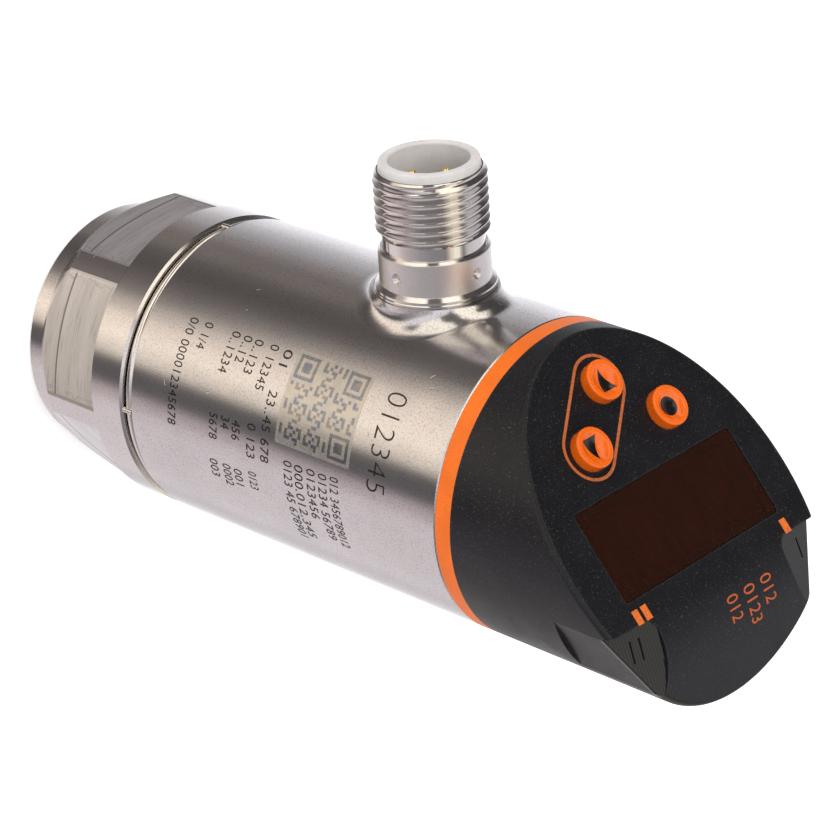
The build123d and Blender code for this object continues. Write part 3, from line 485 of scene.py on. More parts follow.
ORANGE = moulded_plastic(
    "orange_plastic", color=(0.7, 0.13, 0.004), fleck=(0.76, 0.15, 0.01), roughness=0.42, specular=0.22,
    depth=3e-6, Subsurface_Weight=0.1, Subsurface_Scale=0.0006)
BUTTON = moulded_plastic(
    "button_orange", color=(0.72, 0.115, 0.0025), fleck=(0.77, 0.14, 0.008), roughness=0.14, specular=0.6,
    depth=1e-6, Subsurface_Weight=0.1, Subsurface_Scale=0.0005)
# The head's paler edge colour is a painted highlight along the rims of its face and cap, besides abrasion
HEAD = moulded_plastic(
    "head_plastic", color=(0.0048, 0.0048, 0.0064), fleck=(0.055, 0.053, 0.057), roughness=0.4,
    specular=0.34, grain=0.0002, depth=1.1e-5, abrasion_and_highlight=(0.024, 0.024, 0.028))
BLACK = moulded_plastic(
    "black_plastic", color=(0.02, 0.02, 0.021), fleck=(0.04, 0.04, 0.04), roughness=0.45, specular=0.4)
DIGITS = digit_block()
GREY = moulded_plastic(
    "grey_plastic", color=(0.3, 0.31, 0.32), fleck=(0.36, 0.37, 0.38), roughness=0.45, specular=0.4)
CERAMIC = moulded_plastic(
    "ceramic", color=(0.8, 0.79, 0.76), fleck=(0.86, 0.85, 0.83), roughness=0.5, specular=0.5,
    grain=0.00008, depth=3e-6)
RUBBER = moulded_plastic(
    "seal_rubber", color=(0.012, 0.012, 0.012), fleck=(0.03, 0.03, 0.03), roughness=0.55, specular=0.35,
    depth=4e-6)
BOARD = board_green()
WINDOW = tinted_glass("window_tint", color=(0.3, 0.105, 0.06), roughness=0.05, clear=0.95, ior=1.25)
SMOKE = tinted_glass(
    "smoke_tint", color=(0.014, 0.014, 0.0145), roughness=0.1, clear=0.2, ior=1.45, ribbed=True)

FINISHES = {
    FITTING_STEEL: ["process_connection"],
    STEEL: ["housing_tube", "cell_clamp_ring"],
    SPRING: ["retaining_ring", "locking_ring", "board_screws"],
    NICKEL: ["connector_shell", "connector_washer"],
    GOLD: ["contact_pin_1", "contact_pin_2", "contact_pin_3", "contact_pin_4"],
    INSERT: ["connector_insert"],
    ORANGE: ["seal_ring"],
    BUTTON: ["up_button", "down_button", "enter_button"],
    HEAD: ["display_housing"],
    DIGITS: ["display_module"],
    BLACK: ["board_header", "up_switch", "down_switch", "enter_switch"],
    GREY: ["board_carrier"],
    CERAMIC: ["measuring_cell"],
    RUBBER: ["rotary_seal", "cell_seal", "connector_seal", "head_seal"],
    BOARD: ["signal_board", "connector_board", "main_board", "display_board"],
    WINDOW: ["display_window"],
    SMOKE: ["light_window_right", "light_window_left"],
}
for finish, names in FINISHES.items():
    for name in names:
        mesh = nodes[name].data
        mesh.materials.clear()
        mesh.materials.append(finish)


# Mesh building

def finish_piece(bm, name, finish, body, crease=30.0, replaced=()):
    """Turn a bmesh drawn in millimetres into a piece that rides on its body."""
    bmesh.ops.remove_doubles(bm, verts=bm.verts, dist=1e-4)
    bmesh.ops.recalc_face_normals(bm, faces=bm.faces)
    bmesh.ops.scale(bm, verts=bm.verts, vec=(MM, MM, MM))
    limit = math.radians(crease)
    for edge in bm.edges:
        edge.smooth = len(edge.link_faces) == 2 and edge.calc_face_angle(0.0) < limit
    for face in bm.faces:
        face.smooth = True
    mesh = bpy.data.meshes.new(name)
    bm.to_mesh(mesh)
    bm.free()
    mesh.materials.append(finish)
    piece = bpy.data.objects.new(name, mesh)
    bpy.context.scene.collection.objects.link(piece)
    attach(piece, body)
    if replaced:
        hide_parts(*replaced)


def plate(bm, outline, thickness):
    """A flat closed plate over an outline in X and Y, from z = 0 down by thickness."""
    top = [bm.verts.new((x, y, 0.0)) for x, y in outline]
    low = [bm.verts.new((x, y, -thickness)) for x, y in outline]
    bm.faces.new(top)
    bm.faces.new(low[::-1])
    for number in range(len(outline)):
        after = (number + 1) % len(outline)
        bm.faces.new((top[number], low[number], low[after], top[after]))


def cut_across(bm, step, low, high, axis):
    """Split the faces at even steps, so that the mesh can follow a curved surface."""
    normal = Vector((1, 0, 0)) if axis == "x" else Vector((0, 1, 0))
    at = low
    while at < high:
        everything = bm.verts[:] + bm.edges[:] + bm.faces[:]
        bmesh.ops.bisect_plane(bm, geom=everything, plane_co=normal * at, plane_no=normal)
        at += step


def number_plates(text, height, length, thickness, thinner=0.0):
    """The digits of a text as thin closed plates, from x = 0 to length, standing on y = 0, top at z = 0."""
    curve = bpy.data.curves.new("digits", "FONT")
    curve.body = text
    curve.extrude = 0.5
    curve.offset = -thinner
    curve.space_character = 1.05
    curve.resolution_u = 4
    holder = bpy.data.objects.new("digits", curve)
    bpy.context.scene.collection.objects.link(holder)
    ready = holder.evaluated_get(bpy.context.evaluated_depsgraph_get())
    mesh = bpy.data.meshes.new_from_object(ready)
    bpy.data.objects.remove(holder)
    bpy.data.curves.remove(curve)
    bm = bmesh.new()
    bm.from_mesh(mesh)
    bpy.data.meshes.remove(mesh)
    low_x = min(v.co.x for v in bm.verts)
    low_y = min(v.co.y for v in bm.verts)
    wide = max(v.co.x for v in bm.verts) - low_x
    tall = max(v.co.y for v in bm.verts) - low_y
    for vert in bm.verts:
        vert.co = Vector(((vert.co.x - low_x) * length / wide, (vert.co.y - low_y) * height / tall,
                          (vert.co.z - 0.5) * thickness))
    return bm


def join_into(target, source):
    mesh = bpy.data.meshes.new("joined")
    source.to_mesh(mesh)
    source.free()
    target.from_mesh(mesh)
    bpy.data.meshes.remove(mesh)


# Places on the object

def on_tube(point, angle, z, lift):
    """Wrap a flat point on the tube: x along its round, y along its axis, z out of it."""
    turn = math.radians(angle) + point.x / TUBE_R
    radius = TUBE_R + lift + point.z
    return Vector((radius * math.cos(turn), radius * math.sin(turn), z + point.y))


def on_face(u, v, w):
    """A point on the display face: u across, v up the slope, w out of it."""
    return Vector((
        u,
        v * math.cos(FACE_TILT) - w * math.sin(FACE_TILT),
        FACE_HEIGHT + v * math.sin(FACE_TILT) + w * math.cos(FACE_TILT),
    ))


def roof_height(y):
    """Height of the head's top at y: incline, blend, end face."""
    if y < BLEND_START_Y:
        return FACE_HEIGHT + y * math.tan(FACE_TILT)
    if y < BLEND_END_Y:
        return HEAD_END - BLEND_R + math.sqrt(BLEND_R ** 2 - (BLEND_END_Y - y) ** 2)
    return HEAD_END


def roof_normal(y):
    if y < BLEND_START_Y:
        return Vector((0, -math.sin(FACE_TILT), math.cos(FACE_TILT)))
    lean = min(1.0, max(0.0, (BLEND_END_Y - y) / BLEND_R))
    return Vector((0, -lean, math.sqrt(1 - lean ** 2)))


# Connector shell with its thread

SHELL = dict(bore=4.85, shank=5.45, inner_end=14.2, foot_base=18.35, foot=6.4, foot_height=0.3, bevel=0.4,
             grip=5.9, grip_top=22.8, neck=5.4, thread=5.97, start=24.6, end=31.3, chamfer=0.45)
GRIP_CHAMFER = 0.28
FOOT_ROUNDING = 0.06
MOUTH_CHAMFER = 0.1
DIMPLE_AT, DIMPLE_BALL, DIMPLE_CENTRE_OUT = 20.7, 0.6, 0.2
DIMPLE_ROWS, DIMPLE_ROW_STEP, DIMPLE_CLEAR = 15, 0.0857, 0.7
DIMPLE_ANGLES = (0.95, 1.9, 2.8, 3.7, 4.6, 5.5)
COLUMNS_BETWEEN = 20
THREAD_PITCH = 1.0
THREAD_DEPTH = 0.56
THREAD_STEPS = (0.0, 0.1, 0.22, 0.34, 0.46, 0.56, 0.66, 0.78, 0.9)
THREAD_PROFILE = (1.0, 1.0, 0.62, 0.2, 0.02, 0.0, 0.02, 0.3, 0.8)


def shell_columns():
    """Angles round the shell, closer together at the four dimples."""
    columns = []
    edge = DIMPLE_ANGLES[-1]
    gap = 90 - 2 * edge
    for start in (0, 90, 180, 270):
        columns += [start - angle for angle in reversed(DIMPLE_ANGLES)]
        columns += [start + angle for angle in (0,) + DIMPLE_ANGLES]
        columns += [start + edge + gap * step / COLUMNS_BETWEEN for step in range(1, COLUMNS_BETWEEN)]
    return [math.radians(angle) for angle in columns]


def shell_radius_at_dimple(angle, height):
    """Grip radius with the four caulking dimples pressed in."""
    centre_r = SHELL["grip"] + DIMPLE_CENTRE_OUT
    off = (angle + math.pi / 4) % (math.pi / 2) - math.pi / 4
    rest = DIMPLE_BALL ** 2 - (centre_r * off) ** 2 - (height - DIMPLE_AT) ** 2
    if rest <= 0:
        return SHELL["grip"]
    return min(SHELL["grip"], centre_r - math.sqrt(rest))


def connector_thread_shell():
    """Nickelled shell with bevelled foot, dimples, neck and the cut thread."""
    s = SHELL
    columns = shell_columns()
    foot_top = s["foot_base"] + s["foot_height"]
    thread_low = s["start"] - s["chamfer"]
    rows = [[(r, z)] * len(columns) for r, z in (
        (s["bore"], s["inner_end"]), (s["shank"], s["inner_end"]), (s["shank"], s["foot_base"]),
        (s["foot"] - FOOT_ROUNDING, s["foot_base"]), (s["foot"], s["foot_base"] + FOOT_ROUNDING),
        (s["foot"], foot_top), (s["grip"], foot_top + s["bevel"]), (s["grip"], DIMPLE_AT - DIMPLE_CLEAR))]
    for step in range(DIMPLE_ROWS):
        height = DIMPLE_AT - DIMPLE_BALL + step * DIMPLE_ROW_STEP
        rows.append([(shell_radius_at_dimple(angle, height), height) for angle in columns])
    rows += [[(r, z)] * len(columns) for r, z in (
        (s["grip"], DIMPLE_AT + DIMPLE_CLEAR), (s["grip"], s["grip_top"] - GRIP_CHAMFER),
        (s["grip"] - GRIP_CHAMFER, s["grip_top"]), (s["neck"], s["grip_top"]), (s["neck"], thread_low))]
    thread_from = len(rows)
    turns = math.ceil((s["end"] - thread_low) / THREAD_PITCH) + 1
    for turn in range(-1, turns):
        for part, share in zip(THREAD_STEPS, THREAD_PROFILE):
            rows.append([thread_point(thread_low + THREAD_PITCH * (turn + part + angle / math.tau), share)
                         for angle in columns])
    thread_to = len(rows) - 1
    rows += [[(r, z)] * len(columns) for r, z in (
        (s["bore"] + MOUTH_CHAMFER, s["end"]), (s["bore"], s["end"] - MOUTH_CHAMFER))]
    bm = bmesh.new()
    loops = []
    for row in rows:
        loops.append([bm.verts.new(out_of_tube(r, z, angle)) for (r, z), angle in zip(row, columns)])
    last = len(columns) - 1
    for number in range(len(loops)):
        first, second = loops[number], loops[(number + 1) % len(loops)]
        for column in range(last):
            bm.faces.new((first[column], first[column + 1], second[column + 1], second[column]))
        ends = []
        for row in (number, (number + 1) % len(loops)):
            # Past the last column the thread has climbed by one turn
            in_thread = thread_from <= row <= thread_to
            ends.append(loops[min(row + len(THREAD_STEPS), thread_to) if in_thread else row][0])
        low_end, high_end = ends
        corners = [first[last], low_end, high_end, second[last]]
        if low_end is high_end:
            corners.remove(high_end)
        bm.faces.new(corners)
    finish_piece(bm, "threaded_shell", NICKEL, "housing", crease=28.0,
                 replaced=("connector_shell",))


def thread_point(z, share):
    """Radius of the thread at one of its steps, cut back by the end chamfers."""
    s = SHELL
    low = s["start"] - s["chamfer"]
    z = min(max(z, low), s["end"])
    root = s["thread"] - THREAD_DEPTH
    radius = root + THREAD_DEPTH * share
    lead = s["neck"] + (z - low) * (s["thread"] - s["neck"]) / s["chamfer"]
    tail = s["thread"] - max(0.0, z - (s["end"] - s["chamfer"]))
    return (min(radius, lead, tail), z)


def out_of_tube(radius, height, angle):
    """A point at a radius and height on the connector axis, which runs along -Y."""
    return Vector((radius * math.cos(angle), -height, CONNECTOR_Z + radius * math.sin(angle)))


connector_thread_shell()


# Marks on the display face

MARK_DEPTH = 0.05
MARK_LIFT = 0.02


def rounded_line(first, second, radius, width):
    """Outline ring round two points: outer and inner stadium, as quads."""
    bm = bmesh.new()
    direction = (Vector(second) - Vector(first)).normalized()
    side = math.atan2(direction.y, direction.x)
    steps = 24
    rims = []
    for r in (radius - width / 2, radius + width / 2):
        rim = []
        for centre, start in ((second, side - math.pi / 2), (first, side + math.pi / 2)):
            for step in range(steps + 1):
                turn = start + math.pi * step / steps
                rim.append((centre[0] + r * math.cos(turn), centre[1] + r * math.sin(turn)))
        rims.append(rim)
    layers = [[[bm.verts.new((x, y, z)) for x, y in rim] for rim in rims] for z in (0.0, -MARK_DEPTH)]
    (inner_top, outer_top), (inner_low, outer_low) = layers
    for number in range(len(inner_top)):
        after = (number + 1) % len(inner_top)
        for a, b in ((inner_top, outer_top), (outer_top, outer_low),
                     (outer_low, inner_low), (inner_low, inner_top)):
            bm.faces.new((a[number], b[number], b[after], a[after]))
    return bm


def lay_on_face(bm):
    for vert in bm.verts:
        vert.co = on_face(vert.co.x, vert.co.y, vert.co.z + MARK_LIFT)
    return bm


def printed(name, color, roughness=0.5, specular=0.25):
    """Printing ink: slightly uneven coverage over the plastic's grain."""
    finish, tree, shader, point = new_finish(name, specular=specular)
    cover = noise(tree, point, 0.00025, 3.0, 0.7)
    thin = tuple(0.72 * c for c in color) + (1,)
    full = spread(tree, cover, 0.4, 0.55, 0, 1)
    feed(tree, shader.inputs["Base Color"], blend_colors(tree, full, thin, color + (1,)))
    feed(tree, shader.inputs["Roughness"], spread(tree, cover, 0.3, 0.7, roughness - 0.06, roughness + 0.06))
    bump(tree, shader, cover, 4e-6)
    return finish


LINE_INK = printed("line_ink", (0.4, 0.1, 0.026))
BAR_INK = printed("bar_ink", (0.62, 0.13, 0.014))
UNIT_INK = printed("unit_ink", (0.42, 0.085, 0.02))
SYMBOL_INK = printed("symbol_ink", (0.006, 0.005, 0.006), roughness=0.16, specular=0.6)

PILL_R, PILL_LINE = 3.05, 0.34
pill = rounded_line(PLACES["down"], PLACES["up"], PILL_R, PILL_LINE)
finish_piece(lay_on_face(pill), "button_outline", LINE_INK, "housing")

BAR_MIDDLE_V, BAR_LENGTH = 5.27, 1.55
BARS = {"output_bar_1": (10.45, 0.85), "output_bar_2": (11.75, 0.85), "output_bar_3": (-11.9, 0.92)}
for name, (u, width) in BARS.items():
    bar = bmesh.new()
    left, right = u - width / 2, u + width / 2
    low, high = BAR_MIDDLE_V - BAR_LENGTH / 2, BAR_MIDDLE_V + BAR_LENGTH / 2
    plate(bar, [(left, low), (right, low), (right, high), (left, high)], MARK_DEPTH)
    finish_piece(lay_on_face(bar), name, BAR_INK, "housing")

UNIT_LINES = ((-5.3, 6.6, 2.8, "012"), (-2.6, 6.6, 3.9, "0123"), (0.1, 6.6, 2.6, "012"))
UNIT_HEIGHT = 1.7
UNIT_CUT_START, UNIT_CUT_STEP, UNIT_CUT_END = 0.2, 0.4, 6.0
units = bmesh.new()
for base_x, start_y, length, digits in UNIT_LINES:
    line = number_plates(digits, UNIT_HEIGHT, length, MARK_DEPTH)
    cut_across(line, UNIT_CUT_STEP, UNIT_CUT_START, UNIT_CUT_END, "x")
    for vert in line.verts:
        y = start_y + vert.co.x
        base = Vector((base_x - vert.co.y, y, roof_height(y)))
        vert.co = base + roof_normal(y) * (vert.co.z + MARK_LIFT)
    join_into(units, line)
finish_piece(units, "unit_numbers", UNIT_INK, "housing")


# Symbols in the dishes of the buttons

DISH_R = BUTTON_R - BUTTON_RIM
BALL_R = (DISH_R ** 2 + BUTTON_DISH ** 2) / (2 * BUTTON_DISH)
SYMBOL_LIFT = 0.015
SYMBOL_CUT_START, SYMBOL_CUT_STEP, SYMBOL_CUT_END = -1.4, 0.2, 1.45
TRIANGLE_HALF, TRIANGLE_BASE, TRIANGLE_TIP = 0.94, 1.15, 1.3
DISC_R, DISC_CORNERS = 1.05, 40


def dish_height(u, v):
    far = min(math.hypot(u, v), DISH_R)
    return BUTTON_RISE - BUTTON_DISH + BALL_R - math.sqrt(BALL_R ** 2 - far ** 2)


def sink_in_dish(bm, place):
    for axis in ("x", "y"):
        cut_across(bm, SYMBOL_CUT_STEP, SYMBOL_CUT_START, SYMBOL_CUT_END, axis)
    for vert in bm.verts:
        u, v = vert.co.x, vert.co.y
        vert.co = on_face(place[0] + u, place[1] + v, dish_height(u, v) + vert.co.z + SYMBOL_LIFT)
    return bm


def triangle_symbol(sign):
    """Triangle that points up the slope for sign 1 and down it for sign -1."""
    bm = bmesh.new()
    base, tip = -TRIANGLE_BASE * sign, TRIANGLE_TIP * sign
    plate(bm, [(-TRIANGLE_HALF, base), (TRIANGLE_HALF, base), (0.0, tip)][::sign], MARK_DEPTH)
    return bm


def disc_symbol():
    bm = bmesh.new()
    turns = [math.tau * number / DISC_CORNERS for number in range(DISC_CORNERS)]
    plate(bm, [(DISC_R * math.cos(turn), DISC_R * math.sin(turn)) for turn in turns], MARK_DEPTH)
    return bm


for button, symbol in (("up", triangle_symbol(1)), ("down", triangle_symbol(-1)), ("enter", disc_symbol())):
    sunk = sink_in_dish(symbol, PLACES[button])
    finish_piece(sunk, button + "_symbol", SYMBOL_INK, button)


# Laser marks on the tube

BARE_STEEL = (0.68, 0.66, 0.65, 1)


def laser_mark(name, color, other, patch, roughness, bare_share):
    """Annealed steel: a thin oxide layer whose tint changes in patches and that shows the grain below."""
    finish, tree, shader, point = new_finish(name, metallic=0.9)
    tint = spread(tree, noise(tree, point, patch, 2.0), 0.42, 0.58, 0.0, 1.0)
    grain = noise(tree, point, 0.0002, 3.0, 0.7)
    layer = blend_colors(tree, tint, color + (1,), other + (1,))
    thin = blend_colors(tree, bare_share, layer, BARE_STEEL)
    bare = spread(tree, grain, 0.45, 0.68, 0, 1)
    feed(tree, shader.inputs["Base Color"], blend_colors(tree, bare, layer, thin))
    feed(tree, shader.inputs["Roughness"], spread(tree, grain, 0.3, 0.7, roughness - 0.06, roughness + 0.06))
    bump(tree, shader, grain, 3e-6)
    return finish


MARK_DARK = laser_mark(
    "laser_dark", (0.032, 0.028, 0.026), (0.045, 0.038, 0.035), patch=0.002, roughness=0.3, bare_share=0.08)
MARK_FIELD = laser_mark(
    "laser_field", (0.5, 0.475, 0.44), (0.56, 0.53, 0.45), patch=0.001, roughness=0.3, bare_share=0.35)
MARK_BLUE = laser_mark(
    "laser_blue", (0.19, 0.225, 0.275), (0.3, 0.27, 0.26), patch=0.001, roughness=0.2, bare_share=0.25)

LASER_LIFT = 0.012
LASER_DEPTH = 0.03
SMALL = 1.25
BIG, BIG_THINNER = 2.6, 0.02
NUMBER_CUT_START, NUMBER_CUT_STEP = 0.25, 0.5
# Each row: start and end in degrees round the tube, height along it in millimetres, size and digits
NUMBER_LINES = (
    (-44.1, -8.0, 56.4, BIG, "012345"),
    (-45.5, -39.2, 40.9, SMALL, "01"), (-30.0, -3.3, 40.9, SMALL, "23..45 678"),
    (-45.6, -28.4, 38.8, SMALL, "0 12345"), (-16.0, -3.0, 38.8, SMALL, "0 123"),
    (2.6, 10.0, 38.8, SMALL, "0123"),
    (-45.4, -32.5, 36.5, SMALL, "0..123"), (-15.1, -7.6, 36.5, SMALL, "456"),
    (3.9, 10.8, 36.5, SMALL, "001"),
    (-45.4, -35.2, 34.8, SMALL, "0..12"), (-15.0, -10.4, 34.8, SMALL, "34"),
    (3.5, 12.7, 34.8, SMALL, "0002"),
    (-45.5, -29.8, 33.0, SMALL, "0..1234"), (-14.8, -4.9, 33.0, SMALL, "5678"),
    (3.4, 10.8, 32.8, SMALL, "003"),
    (-45.3, -35.1, 28.8, SMALL, "0 1/4"), (-45.2, -4.3, 26.5, SMALL, "0/0 000012345678"),
    (-7.9, 22.0, 51.2, SMALL, "012 3456789012"), (-7.5, 20.3, 49.5, SMALL, "01234 56789"),
    (-7.6, 12.5, 47.8, SMALL, "0123456"), (-7.3, 24.0, 46.0, SMALL, "000.012.345"),
    (-7.4, 26.0, 44.4, SMALL, "0123 45 678901"),
)
numbers = bmesh.new()
for start, end, z, height, digits in NUMBER_LINES:
    length = math.radians(end - start) * TUBE_R
    line = number_plates(digits, height, length, LASER_DEPTH, BIG_THINNER if height == BIG else 0.0)
    cut_across(line, NUMBER_CUT_STEP, NUMBER_CUT_START, length, "x")
    for vert in line.verts:
        vert.co = on_tube(vert.co, start, z, LASER_LIFT)
    join_into(numbers, line)
finish_piece(numbers, "tube_numbers", MARK_DARK, "housing")


def code_cells(side):
    """A plain repeating test pattern of cells with three square corners; it encodes nothing."""
    cells = set()
    for row in range(side):
        for column in range(side):
            if (row * row * 3 + 5 * column + row * column * 2) % 7 in (0, 2, 5):
                cells.add((row, column))
    for top, left in ((0, 0), (side - 7, 0), (side - 7, side - 7)):
        for row in range(top - 1, top + 8):
            for column in range(left - 1, left + 8):
                ring = max(abs(row - top - 3), abs(column - left - 3))
                if ring in (2, 4):
                    cells.discard((row, column))
                elif 0 <= row < side and 0 <= column < side:
                    cells.add((row, column))
    return cells


CODE_SIDE, CODE_BORDER = 25, 1
CODE_START, CODE_END = -45.9, -14.0
CODE_LOW, CODE_HIGH = 43.4, 53.4
cell_x = math.radians(CODE_END - CODE_START) * TUBE_R / CODE_SIDE
cell_y = (CODE_HIGH - CODE_LOW) / CODE_SIDE
dark_cells = code_cells(CODE_SIDE)
for name, finish, dark in (("code_dark", MARK_BLUE, True), ("code_field", MARK_FIELD, False)):
    block = bmesh.new()
    for row in range(-CODE_BORDER, CODE_SIDE + CODE_BORDER):
        for column in range(-CODE_BORDER, CODE_SIDE + CODE_BORDER):
            if ((row, column) in dark_cells) == dark:
                x, y = column * cell_x, row * cell_y
                corners = [(x, y), (x + cell_x, y), (x + cell_x, y + cell_y), (x, y + cell_y)]
                plate(block, corners, LASER_DEPTH)
    for vert in block.verts:
        vert.co = on_tube(vert.co, CODE_START, CODE_LOW, LASER_LIFT)
    finish_piece(block, name, finish, "housing")


# Floor, camera and light

FLOOR_HALF = 4.0
floor_mesh = bpy.data.meshes.new("floor")
floor_corners = [(x * FLOOR_HALF, y * FLOOR_HALF, 0) for x, y in ((-1, -1), (1, -1), (1, 1), (-1, 1))]
floor_mesh.from_pydata(floor_corners, [], [(0, 1, 2, 3)])
floor = bpy.data.objects.new("floor", floor_mesh)
bpy.context.scene.collection.objects.link(floor)
floor_finish, tree, shader, point = new_finish("pale_floor", specular=0.1)
paper = noise(tree, point, 0.05, 3.0)
paper_color = blend_colors(tree, paper, (0.93, 0.93, 0.935, 1), (0.95, 0.95, 0.95, 1))
feed(tree, shader.inputs["Base Color"], paper_color)
feed(tree, shader.inputs["Roughness"], spread(tree, paper, 0.3, 0.7, 0.7, 0.8))
shader.inputs["Emission Color"].default_value = (1.0, 1.0, 1.0, 1.0)
shader.inputs["Emission Strength"].default_value = 0.3
floor_mesh.materials.append(floor_finish)
floor.visible_glossy = False

CAMERA_AT = Vector((0.2095, -0.1454, 0.2560))
CAMERA_RIGHT = Vector((-0.6823, 0.0592, 0.7288))
CAMERA_UP = Vector((-0.3574, -0.8965, -0.2619))
CAMERA_LENS = 131.04
back = CAMERA_RIGHT.cross(CAMERA_UP).normalized()
turn = Matrix((CAMERA_RIGHT, CAMERA_UP, back)).transposed()
camera_data = bpy.data.cameras.new("camera")
camera_data.lens = CAMERA_LENS
camera_data.sensor_width = 36.0
camera_data.clip_start = 0.01
camera = bpy.data.objects.new("camera", camera_data)
camera.matrix_world = Matrix.Translation(CAMERA_AT) @ turn.to_4x4()
bpy.context.scene.collection.objects.link(camera)
bpy.context.scene.camera = camera

KEY_AT = Vector((0.25, -0.35, 0.7))
KEY_AIM = Vector((0, 0, 0.04))
key_data = bpy.data.lights.new("soft_key", "AREA")
key_data.shape = "DISK"
key_data.size = 0.5
key_data.energy = 3.0
key = bpy.data.objects.new("soft_key", key_data)
key.location = KEY_AT
key.rotation_euler = (KEY_AIM - KEY_AT).to_track_quat("-Z", "Y").to_euler()
key.visible_glossy = False
bpy.context.scene.collection.objects.link(key)


# Studio round the object. Low and high panels go by compass direction in degrees, and the front ones by how
# far to the side they lie, from -1 to 1

LOW_PANELS = (
    (-180, (0.67, 0.66, 0.7)), (-169, (0.56, 0.55, 0.58)), (-157, (0.41, 0.4, 0.42)),
    (-145, (0.31, 0.3, 0.31)), (-133, (0.21, 0.19, 0.19)), (-121, (0.15, 0.13, 0.125)),
    (-110, (0.15, 0.13, 0.12)), (-97, (0.09, 0.08, 0.078)), (-85, (0.075, 0.066, 0.064)),
    (-73, (0.098, 0.086, 0.084)), (-61, (0.14, 0.125, 0.12)), (-49, (0.4, 0.35, 0.31)),
    (-37, (0.75, 0.64, 0.55)), (-25, (0.86, 0.75, 0.64)), (-13, (0.66, 0.58, 0.5)),
    (-2, (0.09, 0.085, 0.085)), (10, (0.09, 0.083, 0.087)), (22, (0.39, 0.33, 0.34)),
    (34, (0.54, 0.49, 0.51)), (92, (0.56, 0.515, 0.535)), (104, (0.48, 0.45, 0.47)),
    (116, (0.5, 0.47, 0.49)), (130, (0.62, 0.6, 0.63)), (150, (0.8, 0.78, 0.82)),
    (180, (0.67, 0.66, 0.7)),
)
HIGH_PANELS = (
    (-180, (0.4, 0.39, 0.4)), (-160, (0.14, 0.135, 0.14)), (-139, (0.04, 0.038, 0.04)),
    (-112, (0.06, 0.056, 0.06)), (-85, (0.4, 0.38, 0.38)), (-45, (0.6, 0.58, 0.58)),
    (-5, (0.66, 0.63, 0.66)), (12, (0.36, 0.34, 0.36)), (30, (0.18, 0.17, 0.18)),
    (60, (0.17, 0.16, 0.165)), (76, (0.4, 0.37, 0.33)), (90, (0.66, 0.6, 0.5)),
    (112, (0.66, 0.6, 0.5)), (122, (0.22, 0.205, 0.2)), (130, (0.16, 0.15, 0.155)),
    (144, (0.42, 0.4, 0.42)), (158, (0.5, 0.48, 0.51)), (180, (0.4, 0.39, 0.4)),
)
FRONT_PANELS = (
    (-1.0, (0.14, 0.13, 0.13)), (-0.76, (0.16, 0.15, 0.15)), (-0.66, (0.86, 0.8, 0.7)),
    (-0.34, (0.95, 0.88, 0.77)), (-0.24, (0.11, 0.1, 0.1)), (0.07, (0.11, 0.1, 0.1)),
    (0.17, (0.95, 0.88, 0.77)), (0.56, (0.9, 0.83, 0.72)), (0.66, (0.06, 0.055, 0.055)),
    (1.0, (0.035, 0.033, 0.035)),
)
FRONT_ACROSS = (-0.712, 0.0, 0.702)
TOP_PANEL = (0.8, 0.73, 0.62)
SIDE_SHADE = (0.05, 0.046, 0.048)
STEEL_SHARE = 0.62
LOW_SLANT = math.radians(18)
SLANT_FADE_IN = (math.radians(-100), math.radians(-70))
SLANT_FADE_OUT = (math.radians(-50), math.radians(-25))


def panel_ramp(tree, value, panels, low, high):
    """Colours of a row of panels, whose places run from low to high."""
    return ramp(tree, value, [((place - low) / (high - low), color) for place, color in panels])


world = bpy.data.worlds.new("studio")
bpy.context.scene.world = world
world.use_nodes = True
sky = world.node_tree
sky.nodes.clear()
direction = add_node(sky, "ShaderNodeTexCoord").outputs["Generated"]
to_x, to_y, to_z = split(sky, direction)

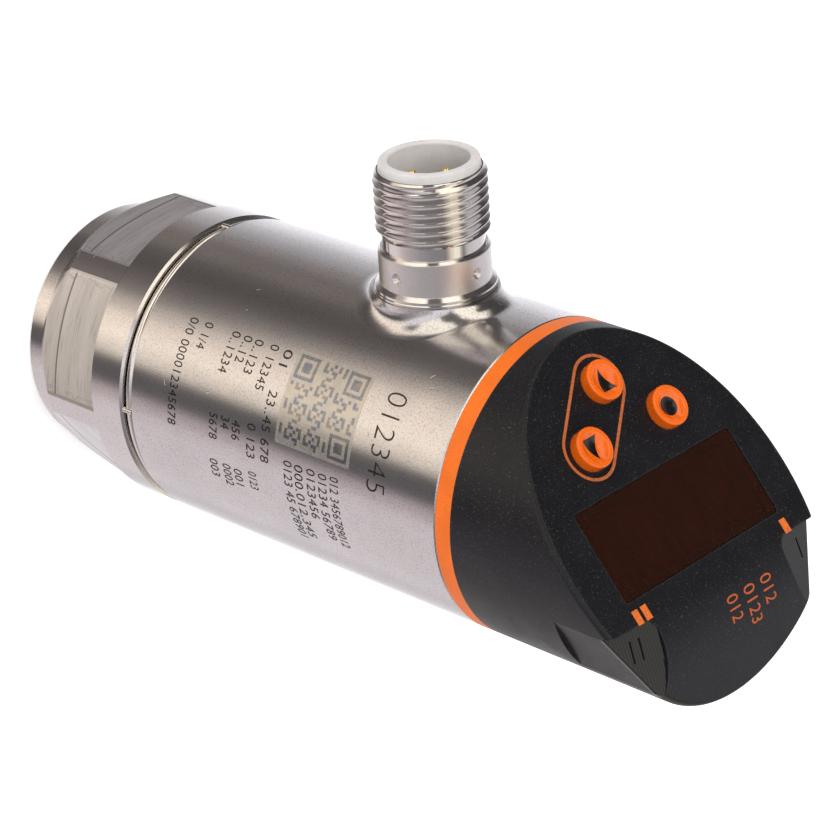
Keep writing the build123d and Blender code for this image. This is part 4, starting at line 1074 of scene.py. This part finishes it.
# Panels near the floor lean over between two compass directions
compass = math_node(sky, "ARCTAN2", to_y, to_x)
slant = spread(sky, to_z, -0.7, -0.62, 0.0, LOW_SLANT)
slant = math_node(sky, "MULTIPLY", slant, spread(sky, compass, *SLANT_FADE_IN, 0.0, 1.0))
slant = math_node(sky, "MULTIPLY", slant, spread(sky, compass, *SLANT_FADE_OUT, 1.0, 0.0))
round_share = spread(sky, math_node(sky, "ADD", compass, slant), -math.pi, math.pi, 0.0, 1.0)
low_color = panel_ramp(sky, round_share, LOW_PANELS, -180, 180)
high_color = panel_ramp(sky, round_share, HIGH_PANELS, -180, 180)

across = add_node(sky, "ShaderNodeVectorMath", operation="DOT_PRODUCT")
feed(sky, across.inputs[0], direction)
across.inputs[1].default_value = FRONT_ACROSS
widening = spread(sky, to_y, -0.92, -0.75, 1.5, 1.0)
widened = math_node(sky, "MULTIPLY", across.outputs["Value"], widening)
front_color = panel_ramp(sky, spread(sky, widened, -1.0, 1.0, 0.0, 1.0), FRONT_PANELS, -1, 1)
at_side = spread(sky, to_x, -0.42, -0.58, 0.0, 1.0)
front_color = blend_colors(sky, at_side, front_color, SIDE_SHADE + (1,))
in_front = spread(sky, to_y, -0.35, -0.5, 0.0, 1.0)
high_color = blend_colors(sky, in_front, high_color, front_color)

above_end = spread(sky, to_y, -0.3, 0.1, -0.38, 0.2)
above = spread(sky, to_z, -0.5, above_end, 0.0, 1.0)
overhead = spread(sky, to_z, 0.86, 0.97, 0.0, 1.0)
panels = blend_colors(sky, above, low_color, high_color)
panels = blend_colors(sky, overhead, panels, TOP_PANEL + (1,))

# Glossy rays see the panels, all others an even white
mirrored = add_node(sky, "ShaderNodeBackground")
feed(sky, mirrored.inputs["Color"], panels)
mirrored.inputs["Strength"].default_value = 1 / STEEL_SHARE
soft = add_node(sky, "ShaderNodeBackground")
soft.inputs["Color"].default_value = (1.0, 1.0, 1.0, 1.0)
soft.inputs["Strength"].default_value = 1.0
rays = add_node(sky, "ShaderNodeLightPath")
either = add_node(sky, "ShaderNodeMixShader")
feed(sky, either.inputs[0], rays.outputs["Is Glossy Ray"])
sky.links.new(soft.outputs[0], either.inputs[1])
sky.links.new(mirrored.outputs[0], either.inputs[2])
sky_out = add_node(sky, "ShaderNodeOutputWorld")
sky.links.new(either.outputs[0], sky_out.inputs[0])

bpy.context.scene.view_settings.view_transform = "Standard"
